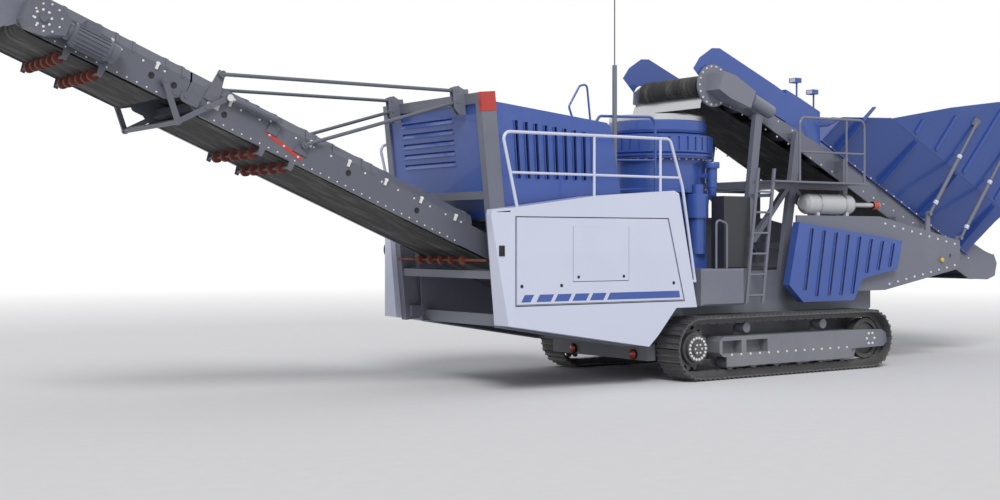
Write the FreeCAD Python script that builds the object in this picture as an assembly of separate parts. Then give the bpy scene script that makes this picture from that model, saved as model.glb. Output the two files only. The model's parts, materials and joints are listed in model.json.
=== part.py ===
import FreeCAD, Part
import math
import os

V = FreeCAD.Vector

# Frame: X along the machine with the feed end at +X, Y across (near side -Y), Z up, ground at Z = 0.
overall_half_length = 8500
seat = 0.3              # running gap between pieces that seat on each other
door_gap = 8            # gap round the free edges of a door

# tracks
track_mid_x = 2375
track_mid_y = 1275
shoe_width = 450
shoe_count = 54
wheel_base = 3500       # sprocket centre to idler centre
loop_radius = 435       # wheel centre to grouser tip
grouser_height = 26
shoe_plate = 16
shoe_web = 5            # what is left of the plate in the joint between two shoes
link_depth = 78
link_width = 140
wheel_gap = 9           # wheel rim to the inside of the chain
sprocket_teeth = 14
tooth_depth = 44
stub_r = 120
idler_axle_r = 50
roller_r = 85
frame_outer_y = 1435
frame_inner_y = 1115
frame_front_x = 1020
frame_back_x = 3700
frame_low = 300
frame_top = 575

# chassis
web_outer_y = 960
web_t = 20
flange_w = 160
flange_t = 20
chassis_top = 1450
belly_low = 480
nose_low = 810
deck_z = 2150
deck_t = 20
rear_plate_y = 1200
rear_plate_t = 30
tie_x, tie_z, tie_r = 6330, 1640, 35      # tie-down eye in each rear plate

# portal
portal_foot_x = -2430
portal_foot_z = 810
portal_height = 2896
portal_lean = math.degrees(math.atan2(300, 2880))
post_depth = 220
post_inner_y = 1030
post_outer_y = 1150

# discharge conveyor, in its own slope frame: u up the slope, w square to it
belt_x0 = -2590
belt_z0 = 1768
belt_slope = 22.5
plate_h = 296
plate_in = 700
plate_t = 12
kink_x = 200
level_end_x = 1900
fold_u = 4108
fold_w = 119
fold_range = 110
notch_half = 58
head_u = 5850
head_r = 150
belt_t = 12
belt_half = 600
hood_rise = 175
hood_t = 6
lug_t = 20

# fold linkage, points as (u, w)
lever_pivot = (3854, 105)
lever_knee = (4103, -182)
lever_top = (3659, 316)
link_pin = (4406, 158)
ram_base = (3019, 337)
ram_r = 32
ram_rod_r = 18
pin_r = 20
pin_gap = 0.1
lever_y = 755
lever_t = 20
link_t = 30

# feed conveyor
feed_head_x = 1530
feed_head_top = 4250
feed_slope = math.degrees(math.atan(0.3987))
feed_head_r = 150
feed_tail_x = 7900
feed_plate_in = 720
feed_plate_t = 30

# hopper, in its own slope frame: a down the slope, n square to it
hop_x0 = 3800
hop_z0 = 3400
hop_slope = 26.0
hop_low_y = 800
hop_hinge_y = 1300
hop_hinge_n = 735
hop_wing_lean = 0.324
hop_len = 3900
sheet = 12
rear_gap = 10           # rear flap behind the wings' ends
wing_start = 3.3        # the wing's lower edge above the hinge line, clear of the fixed wall's bevel
flap_pivot = (3950, 262)
flap_lug_y = 770
flap_low_n = 250
strut_a = (2280, 3150)
strut_head_n = 1500
strut_foot_n = -100
wing_fold = 55

# crusher
crusher_x = 1180
bowl_low = 3070
bowl_top = 3380
bowl_r = 800
drum_r = 700

# side bonnets
bonnet_outer = 1500
bonnet_inner = 1150
skin = 30


def box(x0, x1, y0, y1, z0, z1):
    return Part.makeBox(x1 - x0, y1 - y0, z1 - z0, V(x0, y0, z0))


def poly(points):
    vs = [V(*p) for p in points]
    return Part.Face(Part.makePolygon(vs + [vs[0]]))


def side(points, y0, y1):
    return poly([(x, y0, z) for x, z in points]).extrude(V(0, y1 - y0, 0))


def plan(points, z0, z1):
    return poly([(x, y, z0) for x, y in points]).extrude(V(0, 0, z1 - z0))


def cyl(p, d, r, h):
    return Part.makeCylinder(r, h, V(*p), V(*d))


def across(x, z, r, y0, y1):
    return Part.makeCylinder(r, y1 - y0, V(x, y0, z), V(0, 1, 0))


def fuse(items):
    out = items[0]
    if len(items) > 1:
        out = out.multiFuse(items[1:])
    return out.removeSplitter()


def mirror(shape):
    return shape.mirror(V(0, 0, 0), V(0, 1, 0))


def rod(p, q, r):
    a, b = V(*p), V(*q)
    return Part.makeCylinder(r, (b - a).Length, a, b - a)


def rail(points, r, bend):
    """Tube rail along a polyline with rounded corners."""
    ps = [V(*p) for p in points]
    items = []
    last = ps[0]
    for i in range(1, len(ps) - 1):
        d0 = (ps[i - 1] - ps[i]).normalize()
        d1 = (ps[i + 1] - ps[i]).normalize()
        half = d0.getAngle(d1) / 2
        cut = bend / math.tan(half)
        p0, p1 = ps[i] + d0 * cut, ps[i] + d1 * cut
        centre = ps[i] + (d0 + d1).normalize() * (bend / math.sin(half))
        items.append(Part.makeCylinder(r, (p0 - last).Length, last, p0 - last))
        ring = Part.Face(Part.Wire([Part.makeCircle(r, p0, d0)]))
        axis = (p0 - centre).cross(p1 - centre)
        items.append(ring.revolve(centre, axis, 180 - math.degrees(2 * half)))
        last = p1
    items.append(Part.makeCylinder(r, (ps[-1] - last).Length, last, ps[-1] - last))
    return fuse(items)


def ribbon(points, t):
    """Closed outline of a strip of thickness t laid to the left of a polyline in a plane."""
    n = len(points)
    dirs = []
    for i in range(n - 1):
        dx, dz = points[i + 1][0] - points[i][0], points[i + 1][1] - points[i][1]
        length = math.hypot(dx, dz)
        dirs.append((dx / length, dz / length))
    inner = []
    for i in range(n):
        a = dirs[max(i - 1, 0)]
        b = dirs[min(i, n - 2)]
        nx, nz = -(a[1] + b[1]), a[0] + b[0]
        length = math.hypot(nx, nz)
        nx, nz = nx / length, nz / length
        k = t / (nx * -b[1] + nz * b[0])
        inner.append((points[i][0] + nx * k, points[i][1] + nz * k))
    return points + inner[::-1]


def arc_points(cx, cz, r, a0, a1, n):
    return [(cx + r * math.cos(math.radians(a0 + (a1 - a0) * i / n)),
             cz + r * math.sin(math.radians(a0 + (a1 - a0) * i / n))) for i in range(n + 1)]


SC, SS = math.cos(math.radians(belt_slope)), math.sin(math.radians(belt_slope))
FC, FS = math.cos(math.radians(feed_slope)), math.sin(math.radians(feed_slope))
HC, HS = math.cos(math.radians(hop_slope)), math.sin(math.radians(hop_slope))
hop_top_n = (overall_half_length - hop_x0 - HC * (hop_len + rear_gap + sheet)) / HS


def dis(u, w):
    """Slope frame of the discharge conveyor to X, Z."""
    return (belt_x0 - SC * u + SS * w, belt_z0 + SS * u + SC * w)


def hop(a, n):
    """Slope frame of the hopper to X, Z."""
    return (hop_x0 + HC * a + HS * n, hop_z0 - HS * a + HC * n)


def dis_side(points, y0, y1):
    return side([dis(u, w) for u, w in points], y0, y1)


def dis_round(u, w, r, y0, y1):
    x, z = dis(u, w)
    return across(x, z, r, y0, y1)


def section_along(points_yz, frame, s0, s1):
    """Section given as (Y, height) run along a slope frame from s0 to s1."""
    x0, z0 = frame(s0, 0)
    x1, z1 = frame(s1, 0)
    face = poly([(frame(s0, h)[0], y, frame(s0, h)[1]) for y, h in points_yz])
    return face.extrude(V(x1 - x0, 0, z1 - z0))


def save(name, solids):
    shape = solids[0] if len(solids) == 1 else Part.makeCompound(solids)
    shape.exportStep(os.path.join("parts", name + ".step"))


# tracks
sprocket_x = track_mid_x - wheel_base / 2
idler_x = track_mid_x + wheel_base / 2
wheel_z = loop_radius
plate_r = loop_radius - grouser_height - shoe_plate
chain_in_r = plate_r - link_depth
loop_len = 2 * wheel_base + 2 * math.pi * plate_r
shoe_pitch = loop_len / shoe_count
rim_r = math.sqrt(plate_r ** 2 - (shoe_pitch / 2) ** 2) - link_depth - wheel_gap


def on_loop(s):
    s %= loop_len
    turn = math.pi * plate_r
    if s < wheel_base:
        return (sprocket_x + s, wheel_z + plate_r)
    if s < wheel_base + turn:
        a = math.pi / 2 - (s - wheel_base) / plate_r
        return (idler_x + plate_r * math.cos(a), wheel_z + plate_r * math.sin(a))
    if s < 2 * wheel_base + turn:
        return (idler_x - (s - wheel_base - turn), wheel_z - plate_r)
    a = -math.pi / 2 - (s - 2 * wheel_base - turn) / plate_r
    return (sprocket_x + plate_r * math.cos(a), wheel_z + plate_r * math.sin(a))


def track_loop():
    tip = shoe_plate + grouser_height
    shoe = [(0.0, shoe_web), (0.03, tip), (0.15, shoe_plate), (0.38, shoe_plate), (0.5, tip), (0.62, shoe_plate),
            (0.85, shoe_plate), (0.97, tip)]                      # share of the pitch, height
    link = [(0.0, -link_depth + 16), (0.13, -link_depth), (0.87, -link_depth)]
    outer, plate_line, inner = [], [], []
    knots = [on_loop(loop_len * (i + 0.5) / shoe_count) for i in range(shoe_count)]
    for i in range(shoe_count):
        p, q = knots[i], knots[(i + 1) % shoe_count]
        dx, dz = q[0] - p[0], q[1] - p[1]
        length = math.hypot(dx, dz)
        nx, nz = -dz / length, dx / length
        plate_line.append(p)
        outer += [(p[0] + dx * t + nx * h, p[1] + dz * t + nz * h) for t, h in shoe]
        inner += [(p[0] + dx * t + nx * h, p[1] + dz * t + nz * h) for t, h in link]
    half = shoe_width / 2
    shoes = side(outer, -half, half).cut(side(plate_line, -half - 1, half + 1))
    chain = side(outer, -link_width / 2, link_width / 2).cut(side(inner, -half, half))
    band = shoes.fuse(chain)
    return band


def sprocket():
    pts = []
    root = rim_r - tooth_depth
    for i in range(sprocket_teeth):
        a = 2 * math.pi * i / sprocket_teeth
        for f, r in ((-0.30, root), (-0.12, rim_r), (0.12, rim_r), (0.30, root)):
            b = a + f * 2 * math.pi / sprocket_teeth
            pts.append((sprocket_x + r * math.cos(b), wheel_z + r * math.sin(b)))
    y = -track_mid_y
    body = side(pts, y - 30, y + 30)
    body = fuse([body, across(sprocket_x, wheel_z, 215, y - 95, y + 60), across(sprocket_x, wheel_z, 180, y - 150, y - 95),
                 across(sprocket_x, wheel_z, 95, y - 168, y - 150)])
    return body.cut(across(sprocket_x, wheel_z, stub_r + pin_gap, y - 120, y + 200))


def idler():
    y = -track_mid_y
    prof = [(idler_axle_r + pin_gap, -75), (120, -75), (120, -45), (235, -30), (235, -60), (rim_r, -60), (rim_r, 60),
            (235, 60), (235, 30), (120, 45), (120, 75), (idler_axle_r + pin_gap, 75)]
    face = poly([(idler_x + r, y + dy, wheel_z) for r, dy in prof])
    return face.revolve(V(idler_x, y, wheel_z), V(0, 1, 0), 360)


def track_frame():
    yo, yi, ym = -frame_outer_y, -frame_inner_y, -track_mid_y
    web = 20
    main = side([(frame_front_x, frame_low + 60), (frame_front_x, frame_top - 60), (frame_front_x + 80, frame_top),
                 (frame_back_x, frame_top), (frame_back_x, frame_low), (frame_front_x + 80, frame_low)], yo, yi)
    for x0, x1 in ((1075, 1440), (1530, 1950)):
        main = main.cut(box(x0, x1, yo - 1, yo + 150, frame_low + 45, frame_top - 55))
    items = [main]
    arm = [(frame_back_x - 1, frame_low), (frame_back_x - 1, frame_top), (4380, frame_top - 15), (4480, frame_top - 70),
           (4500, frame_low + 70), (4420, frame_low + 10)]
    for y0, y1 in ((yo, yo + 25), (yi - 25, yi)):
        items.append(side(arm, y0, y1))
    items.append(across(idler_x, wheel_z, idler_axle_r, yo + 20, yi - 20))
    # final drive carrier on the inner side, with the stub that the sprocket turns on
    items.append(side([(frame_front_x + 1, frame_low + 40), (frame_front_x + 1, frame_top - 40), (sprocket_x, wheel_z + 160),
                       (sprocket_x - 150, wheel_z + 60), (sprocket_x - 150, wheel_z - 60), (sprocket_x, wheel_z - 160)],
                      yi - 30, yi))
    items.append(across(sprocket_x, wheel_z, stub_r, ym - 110, yi - 15))
    # bottom rollers between two skirts
    for y0, y1 in ((yo, yo + web), (yi - web, yi)):
        items.append(box(frame_front_x + 140, frame_back_x, y0, y1, wheel_z - chain_in_r + roller_r - 40, frame_low + 1))
    rz = wheel_z - chain_in_r + seat + roller_r
    for i in range(6):
        x = 1290 + i * 460
        items.append(across(x, rz, roller_r, ym - 90, ym + 90))
        items.append(across(x, rz, 35, yo + 5, yi - 5))
    for x0, x1 in ((1170, 1660), (3150, 3850)):
        items.append(side([(x0, frame_low + 1), (x1, frame_low + 1), (x1 - 70, 150), (x0 + 70, 150)], ym - 125, ym - 105))
        items.append(side([(x0, frame_low + 1), (x1, frame_low + 1), (x1 - 70, 150), (x0 + 70, 150)], ym + 105, ym + 125))
    # top rollers on posts
    tz = wheel_z + chain_in_r - seat - 70
    for x in (1620, 3180):
        items.append(across(x, tz, 70, ym - 80, ym + 80))
        items.append(across(x, tz, 30, ym, yi - 10))
        items.append(side([(x - 60, frame_top - 1), (x + 60, frame_top - 1), (x + 35, tz + 30), (x - 35, tz + 30)],
                          yi - 40, yi - 15))
    # beams to the chassis
    for x in (1500, 3300):
        items.append(box(x - 130, x + 130, yi - 5, -web_outer_y, frame_low + 20, frame_top - 20))
    return fuse(items)


save_list = []


def node(name, *solids):
    save_list.append((name, list(solids)))


near_track = track_loop()
near_track.translate(V(0, -track_mid_y, 0))
node("track_near", near_track)
node("track_far", mirror(near_track))
tf = track_frame()
node("track_frame_near", tf)
node("track_frame_far", mirror(tf))
sp = sprocket()
node("sprocket_near", sp)
node("sprocket_far", mirror(sp))
il = idler()
node("idler_near", il)
node("idler_far", mirror(il))


# chassis
def chassis():
    web_line = [(-2230, 790), (-300, belly_low), (4150, belly_low), (4700, 860), (4700, 1160), (4700, chassis_top),
                (-450, chassis_top), (-450, deck_z - deck_t), (-2330, deck_z - deck_t), (-2260, chassis_top)]
    items = []
    for s in (-1, 1):
        y0, y1 = sorted((s * web_outer_y, s * (web_outer_y - web_t)))
        f0, f1 = sorted((s * web_outer_y, s * (web_outer_y - flange_w)))
        items.append(side(web_line, y0, y1))
        low = [(-2230, 790), (-300, belly_low), (4150, belly_low), (4150, belly_low + flange_t), (-300, belly_low + flange_t),
               (-2230, 790 + flange_t)]
        items.append(side(low, f0, f1))
        items.append(box(-450, 4700, f0, f1, chassis_top - flange_t, chassis_top))
        # rear side plate
        r0, r1 = sorted((s * rear_plate_y, s * (rear_plate_y - rear_plate_t)))
        plate = side([(2800, 2250), (4630, 2250), (6590, 1880), (6590, 1440), (4750, 1130), (2800, 1130)], r0, r1)
        items.append(plate.cut(across(tie_x, tie_z, tie_r, r0 - 1, r1 + 1)))
        for x in (2850, 4500):
            e0, e1 = sorted((s * (web_outer_y - 1), s * (rear_plate_y - rear_plate_t + 1)))
            items.append(box(x, x + 120, e0, e1, 1180, chassis_top))
        # outriggers to the portal foot and the bonnets
        o0, o1 = sorted((s * (web_outer_y - 1), s * post_inner_y))
        items.append(box(-2390, -2080, o0, o1, 860, 1010))
        for x in (-1900, -900, 60):
            o0, o1 = sorted((s * (web_outer_y - 1), s * bonnet_inner))
            items.append(box(x, x + 100, o0, o1, 1330, chassis_top))
    # cross members under the discharge belt, and over it for the crusher
    inner = web_outer_y - web_t + 1
    for x, z0, z1 in ((-2180, 800, 950), (-350, 500, 690), (900, 500, 600), (2050, 500, 760), (3100, 500, 760), (3950, 500, 760)):
        items.append(box(x, x + 160, -inner, inner, z0, z1))
    for x in (640, 1600, 2350, 3300, 4540):
        items.append(box(x, x + 120, -inner, inner, 1300, chassis_top))
    items.append(box(6420, 6540, -rear_plate_y + 5, rear_plate_y - 5, 1450, 1600))
    items.append(box(5400, 5520, -rear_plate_y + 5, rear_plate_y - 5, 1290, 1420))
    items.append(box(-2330, -300, -post_inner_y - 60, post_inner_y + 60, deck_z - deck_t, deck_z))
    items.append(box(80, 220, -1030, 1030, 270, belly_low + 5))
    # lugs for the feet of the hopper's struts
    for s in (-1, 1):
        r0, r1 = sorted((s * rear_plate_y, s * (rear_plate_y - rear_plate_t)))
        for a in strut_a:
            x, z = hop(a, strut_foot_n)
            x = min(x, 6590 - 36)
            items.append(side([(x - 110, 1800), (x + 36, 1800), (x + 36, z + 30), (x - 36, z + 30)], r0, r1))
    # seats of the feed conveyor
    for s in (-1, 1):
        for x, z0, z1 in ((6420, 1599, 1800), (5400, 1419, 2260)):
            e0, e1 = sorted((s * (feed_plate_in + feed_plate_t), s * (feed_plate_in + feed_plate_t + 130)))
            items.append(box(x, x + 120, e0, e1, z0, z1))
    return fuse(items)


def portal():
    """Built upright with its foot at the origin, then leaned back over the conveyor."""
    items = []
    for s in (-1, 1):
        y0, y1 = sorted((s * post_inner_y, s * post_outer_y))
        items.append(box(0, post_depth, y0, y1, 0, portal_height))
    items.append(box(0, post_depth, -post_inner_y - 1, post_inner_y + 1, portal_height - 130, portal_height))
    items.append(box(20, 140, -post_inner_y - 1, post_inner_y + 1, 1590, 1690))
    items.append(box(20, 140, -post_inner_y - 1, post_inner_y + 1, 600, 700))
    # clevis plates for the stays
    for s in (-1, 1):
        for y in (725, 790):
            y0, y1 = sorted((s * y, s * (y + 15)))
            items.append(side([(1, portal_height - 250), (1, portal_height + 60), (-80, portal_height + 110),
                               (-160, portal_height + 90), (-160, portal_height - 160), (-90, portal_height - 250)], y0, y1))
        y0, y1 = sorted((s * 720, s * 810))
        items.append(box(0, 60, y0, y1, portal_height - 130, portal_height + 60))
        for z in (portal_height - 90, portal_height + 50):
            y0, y1 = sorted((s * 715, s * 815))
            items.append(across(-110, z, 18, y0, y1))
    shape = fuse(items)
    shape.rotate(V(0, 0, 0), V(0, 1, 0), -portal_lean)
    shape.translate(V(portal_foot_x, 0, portal_foot_z))
    return shape


PL = math.radians(portal_lean)


def por(x, z):
    return (portal_foot_x + x * math.cos(PL) - z * math.sin(PL), portal_foot_z + x * math.sin(PL) + z * math.cos(PL))


chassis_frame = chassis()
portal_frame = portal()


def louvre_panel():
    z0, z1 = 1690 + seat, portal_height - 130 - seat
    y = post_inner_y - seat
    body = box(25, 60, -y, y, z0, z1)
    for i in range(5):
        zc = z1 - 170 - i * 135
        body = body.cut(box(20, 70, -450, 750, zc - 28, zc + 28))
        slat = poly([(12, -452, zc - 34), (20, -452, zc - 40), (62, -452, zc + 26), (54, -452, zc + 32)]).extrude(V(0, 1204, 0))
        body = body.fuse(slat)
    body = body.removeSplitter()
    body.rotate(V(0, 0, 0), V(0, 1, 0), -portal_lean)
    body.translate(V(portal_foot_x, 0, portal_foot_z))
    return body


def housing():
    """Power pack housing on the deck, open below, with slanted louvre slots."""
    w = skin
    fx, fz = por(post_depth, 0)
    lean = math.tan(PL)
    x_at = lambda z: portal_foot_x + post_depth / math.cos(PL) - (z - portal_foot_z) * lean + seat
    out = [(x_at(deck_z), deck_z), (x_at(3600), 3600), (-680, 3420), (-610, 3370), (-450, 2530), (-450, deck_z)]
    ins = [(x_at(deck_z) + w, deck_z - 1), (x_at(3600) + w, 3600 - w), (-690, 3420 - w), (-640, 3370 - w), (-480, 2525), (-480, deck_z - 1)]
    y = 1090
    body = side(out, -y, y).cut(side(ins, -y + w, y - w))
    for i in range(9):
        xt = -2170 + i * 155
        slot = [(xt, 3380 - i * 14), (xt + 48, 3380 - i * 14), (xt + 100 - i * 5, 2660), (xt + 52 - i * 5, 2660)]
        body = body.cut(side(slot, -y - 5, -y + w + 5)).cut(side(slot, y - w - 5, y + 5))
    return body


engine = fuse([box(-2100, -800, -430, 430, deck_z + 90, 3050),
               box(-1950, -1850, -430, 430, deck_z, deck_z + 91), box(-1050, -950, -430, 430, deck_z, deck_z + 91)])


def bonnet_outline(d):
    """Outer outline of the side bonnet, drawn in by d."""
    return [(-2640 + d, 2190 - d * 0.5), (-2630 + d, 2265 - d), (-1180, 2450 - d), (130 - d * 0.5, 2540 - d), (215 - d, 2505 - d),
            (540 - d, 1000 + d), (170 - d, 1000 + d), (-150 - d, 650 + d), (-310 - d, 510 + d), (-2520 + d, 850 + d)]


door_top = 2165
door_low = 1100
door_front_x = -2440
door_back = ((20, door_top), (300, door_low))
flap_box = (-1570, -650, 1370, 2060)


def bonnet():
    body = side(bonnet_outline(0), -bonnet_outer, -bonnet_inner)
    body = body.cut(side(bonnet_outline(skin), -bonnet_outer + skin, -bonnet_inner - 20))
    cham = plan([(-2900, -bonnet_outer - 10), (-2490, -bonnet_outer - 10), (-2490, -bonnet_outer), (-2645, -1240), (-2900, -1240)],
                400, 2700)
    inner_wall = plan([(-2490, -bonnet_outer), (-2645, -1240), (-2645 + 35, -1240), (-2490 + 35, -bonnet_outer)], 860, 2230)
    body = body.cut(cham)
    hull = side(bonnet_outline(2), -bonnet_outer, -bonnet_inner)
    body = body.fuse(inner_wall.common(hull)).removeSplitter()
    opening = side([(door_front_x, door_top), (door_front_x, door_low)] + [(x, z) for x, z in door_back[::-1]],
                   -bonnet_outer - 5, -bonnet_outer + skin + 5)
    return body.cut(opening)


def bonnet_door():
    g = door_gap
    outline = [(door_front_x + g, door_top - seat), (door_front_x + g, door_low + g), (300 - g * 1.1, door_low + g), (20 - g * 1.1, door_top - seat)]
    leaf = side(outline, -bonnet_outer, -bonnet_outer + skin)
    x0, x1, z0, z1 = flap_box
    return leaf.cut(box(x0, x1, -bonnet_outer - 5, -bonnet_outer + skin + 5, z0, z1))


def bonnet_flap():
    x0, x1, z0, z1 = flap_box
    g = door_gap
    return box(x0 + g, x1 - g, -bonnet_outer, -bonnet_outer + skin, z0 + g, z1 - seat)


def handrail():
    """Guard rail along the walkway on the bonnet; its feet are cut to the bonnet's top."""
    y = -1440
    r = 20
    loop = rail([(-2360, y, 2180), (-2610, y, 3200), (110, y, 3220), (330, y, 2600), (560, y, 1330)], r, 90)
    items = [loop, rod((-2490, y, 2710), (290, y, 2715), r * 0.8)]
    for x in (-1180, -60):
        items.append(rod((x, y, 2380), (x, y, 3210), r * 0.9))
    items.append(rod((560, y, 1345), (440, y, 1345), r * 0.7))
    return fuse(items).cut(side(bonnet_outline(-seat), y - 60, y + 60))


node("chassis_frame", chassis_frame)
node("portal_frame", portal_frame)
node("end_louvre_panel", louvre_panel())
node("power_housing", housing())
node("engine_block", engine)
bn, bd, bf, hr = bonnet(), bonnet_door(), bonnet_flap(), handrail()
for tag, f in (("near", lambda s: s), ("far", mirror)):
    node("bonnet_" + tag, f(bn))
    node("bonnet_door_" + tag, f(bd))
    node("service_flap_" + tag, f(bf))
node("walkway_rails", hr, mirror(hr))


# discharge conveyor
tanN = math.tan(math.radians(notch_half))
kink_u = -(kink_x - belt_x0) / SC
level_z = dis(kink_u, 0)[1]
fold_half_gap = 4


def discharge_frame():
    y0, y1 = plate_in, plate_in + plate_t
    top_kink = (kink_x + plate_h * math.tan(math.radians(belt_slope / 2)), level_z + plate_h)
    nb = fold_w * tanN
    pts = [dis(fold_u - fold_half_gap, plate_h), dis(fold_u - fold_half_gap, fold_w), dis(fold_u - fold_half_gap - nb, 0),
           (kink_x, level_z), (level_end_x, level_z), (level_end_x, level_z + plate_h), top_kink]
    items = []
    for s in (-1, 1):
        a, b = sorted((s * y0, s * y1))
        items.append(side(pts, a, b))
        # stiffening lip along the top and bottom
        l0, l1 = sorted((s * (y0 - 40), s * y1))
        items.append(dis_side([(150, 0), (fold_u - 240, 0), (fold_u - 240, 8), (150, 8)], l0, l1))
        # hinge ear, ahead of the outer plates
        e0, e1 = sorted((s * (y1 - 1), s * (y1 + 5 + lug_t)))
        x0, x1 = sorted((s * (y1 + 5), s * (y1 + 5 + lug_t)))
        ear = fuse([dis_side([(fold_u - 170, fold_w - 60), (fold_u - 100, fold_w - 60), (fold_u - 100, fold_w + 60), (fold_u - 170, fold_w + 60)], e0, e1),
                    dis_side([(fold_u - 170, fold_w - 60), (fold_u, fold_w - 60), (fold_u, fold_w + 60), (fold_u - 170, fold_w + 60)], x0, x1),
                    dis_round(fold_u, fold_w, 60, x0, x1)])
        items.append(ear.cut(dis_round(fold_u, fold_w, pin_r + pin_gap, min(e0, x0) - 5, max(e1, x1) + 5)))
        # pivot boss and pin of the lever
        b0, b1 = sorted((s * (y1 - 1), s * (lever_y - seat)))
        p0, p1 = sorted((s * (y1 - 1), s * (lever_y + lever_t + 10)))
        items.append(dis_round(*lever_pivot, 42, b0, b1))
        items.append(dis_round(*lever_pivot, pin_r, p0, p1))
        # ram bracket
        u, w = ram_base
        g0, g1 = sorted((s * (y1 - 1), s * (y1 + lug_t)))
        items.append(dis_side([(u - 70, 180), (u + 70, 180), (u + 45, w + 35), (u - 45, w + 35)], g0, g1))
        q0, q1 = sorted((s * (y1 + 1), s * (ram_y + 25)))
        items.append(dis_round(u, w, pin_r, q0, q1))
        # stay ears: upper above the hood, lower on the plate
        for u, w, base in stay_ears:
            items.append(dis_side([(u - 90, base), (u + 90, base), (u + 40, w + 40), (u - 40, w + 40)], g0, g1))
            q0, q1 = sorted((s * (y1 + 1), s * (stay_y + 30)))
            items.append(dis_round(u, w, stay_pin_r, q0, q1))
        # brackets of the disc rollers
        d0, d1 = sorted((s * (y0), s * (y1)))
        for u in (2650, 3050):
            items.append(dis_side([(u - 40, 1), (u + 40, 1), (u + 25, -100), (u - 25, -100)], d0, d1))
    # ties between the runs of the belt
    for u in (150, 900, 1700, 2500, 3300, 3850):
        items.append(dis_side([(u - 40, 90), (u + 40, 90), (u + 40, 190), (u - 40, 190)], -y0 - 1, y0 + 1))
    for x in (420, 1250):
        items.append(box(x, x + 80, -y0 - 1, y0 + 1, level_z + 90, level_z + 190))
    # feet on the chassis cross members
    for s in (-1, 1):
        f0, f1 = sorted((s * (y0 + 1), s * (y1 + 60)))
        items.append(box(920, 1040, f0, f1, 600, level_z + 120))
    # idlers under the carrying run, and the tail drum's shaft
    for u in (500, 1300, 2100, 2900, 3600):
        items.append(dis_round(u, carry_w - 38, 38 - seat, -y0 - 1, y0 + 1))
    items.append(across(tail_x, tail_z, tail_r * chord_share - seat, -belt_half, belt_half))
    items.append(across(tail_x, tail_z, 30, -y0 - 1, y0 + 1))
    for u in (2650, 3050):
        items.append(dis_round(u, disc_w, disc_axle_r, -y0 - 1, y0 + 1))
    return fuse(items)


ram_y = lever_y + lever_t + seat + 22
stay_y = 765
stay_pin_r = 16
stay_ears = ((3824, 529, 200), (2607, 232, 120))
carry_w = 252
return_w = 12
tail_r = (carry_w - return_w) / 2
belt_step = 18          # degrees of each flat of the belt round a drum
chord_share = math.cos(math.radians(belt_step / 2))
drum_gap = 6            # turning drum to the inside of its belt
disc_r = 62
disc_axle_r = 18
disc_w = -(disc_r + seat)
tail_x = level_end_x - 180
tail_z = level_z + (carry_w + return_w) / 2


def belt_inner():
    top_kink = kink_x + carry_w * math.tan(math.radians(belt_slope / 2))
    low_kink = kink_x + return_w * math.tan(math.radians(belt_slope / 2))
    path = [dis(fold_u - fold_half_gap - 4, carry_w), (top_kink, level_z + carry_w)]
    path += arc_points(tail_x, tail_z, tail_r, 90, -90, 180 // belt_step)
    path += [(low_kink, level_z + return_w), dis(fold_u - (fold_w - return_w + 25) * tanN - 12, return_w)]
    return side(ribbon(path, belt_t), -belt_half, belt_half)


def belt_outer():
    hu = head_u
    mid_w = (carry_w + return_w) / 2
    r = (carry_w - return_w) / 2
    path = [dis(fold_u + (fold_w - return_w + 25) * tanN + 12, return_w)]
    path += [dis(hu + r * math.cos(math.radians(a)), mid_w + r * math.sin(math.radians(a))) for a in range(-90, 91, belt_step)]
    path += [dis(fold_u + fold_half_gap + 4, carry_w)]
    return side(ribbon(path, belt_t), -belt_half, belt_half)


def hood(u0, u1):
    y = plate_in + plate_t - 2
    w0, w1 = plate_h + seat, plate_h + hood_rise
    out = [(-y, w0), (-y, w0 + 25), (-y + 90, w1 - 40), (-y + 260, w1), (y - 260, w1), (y - 90, w1 - 40), (y, w0 + 25), (y, w0)]
    t = hood_t
    ins = [(-y + t, w0 - 1), (-y + t, w0 + 23), (-y + 93, w1 - 40 - t), (-y + 261, w1 - t), (y - 261, w1 - t), (y - 93, w1 - 40 - t),
           (y - t, w0 + 23), (y - t, w0 - 1)]
    body = section_along(out, dis, u0, u1).cut(section_along(ins, dis, u0 - 1, u1 + 1))
    ribs = []
    for k in range(int((u1 - u0 - 150) / 800) + 1):
        u = u0 + 80 + k * 800
        big = [(a * 1.012, b + (8 if b > w0 + 1 else 0)) for a, b in out]
        ribs.append(section_along(big, dis, u, u + 30).cut(section_along(ins, dis, u - 1, u + 31)))
    return fuse([body] + ribs)


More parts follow.
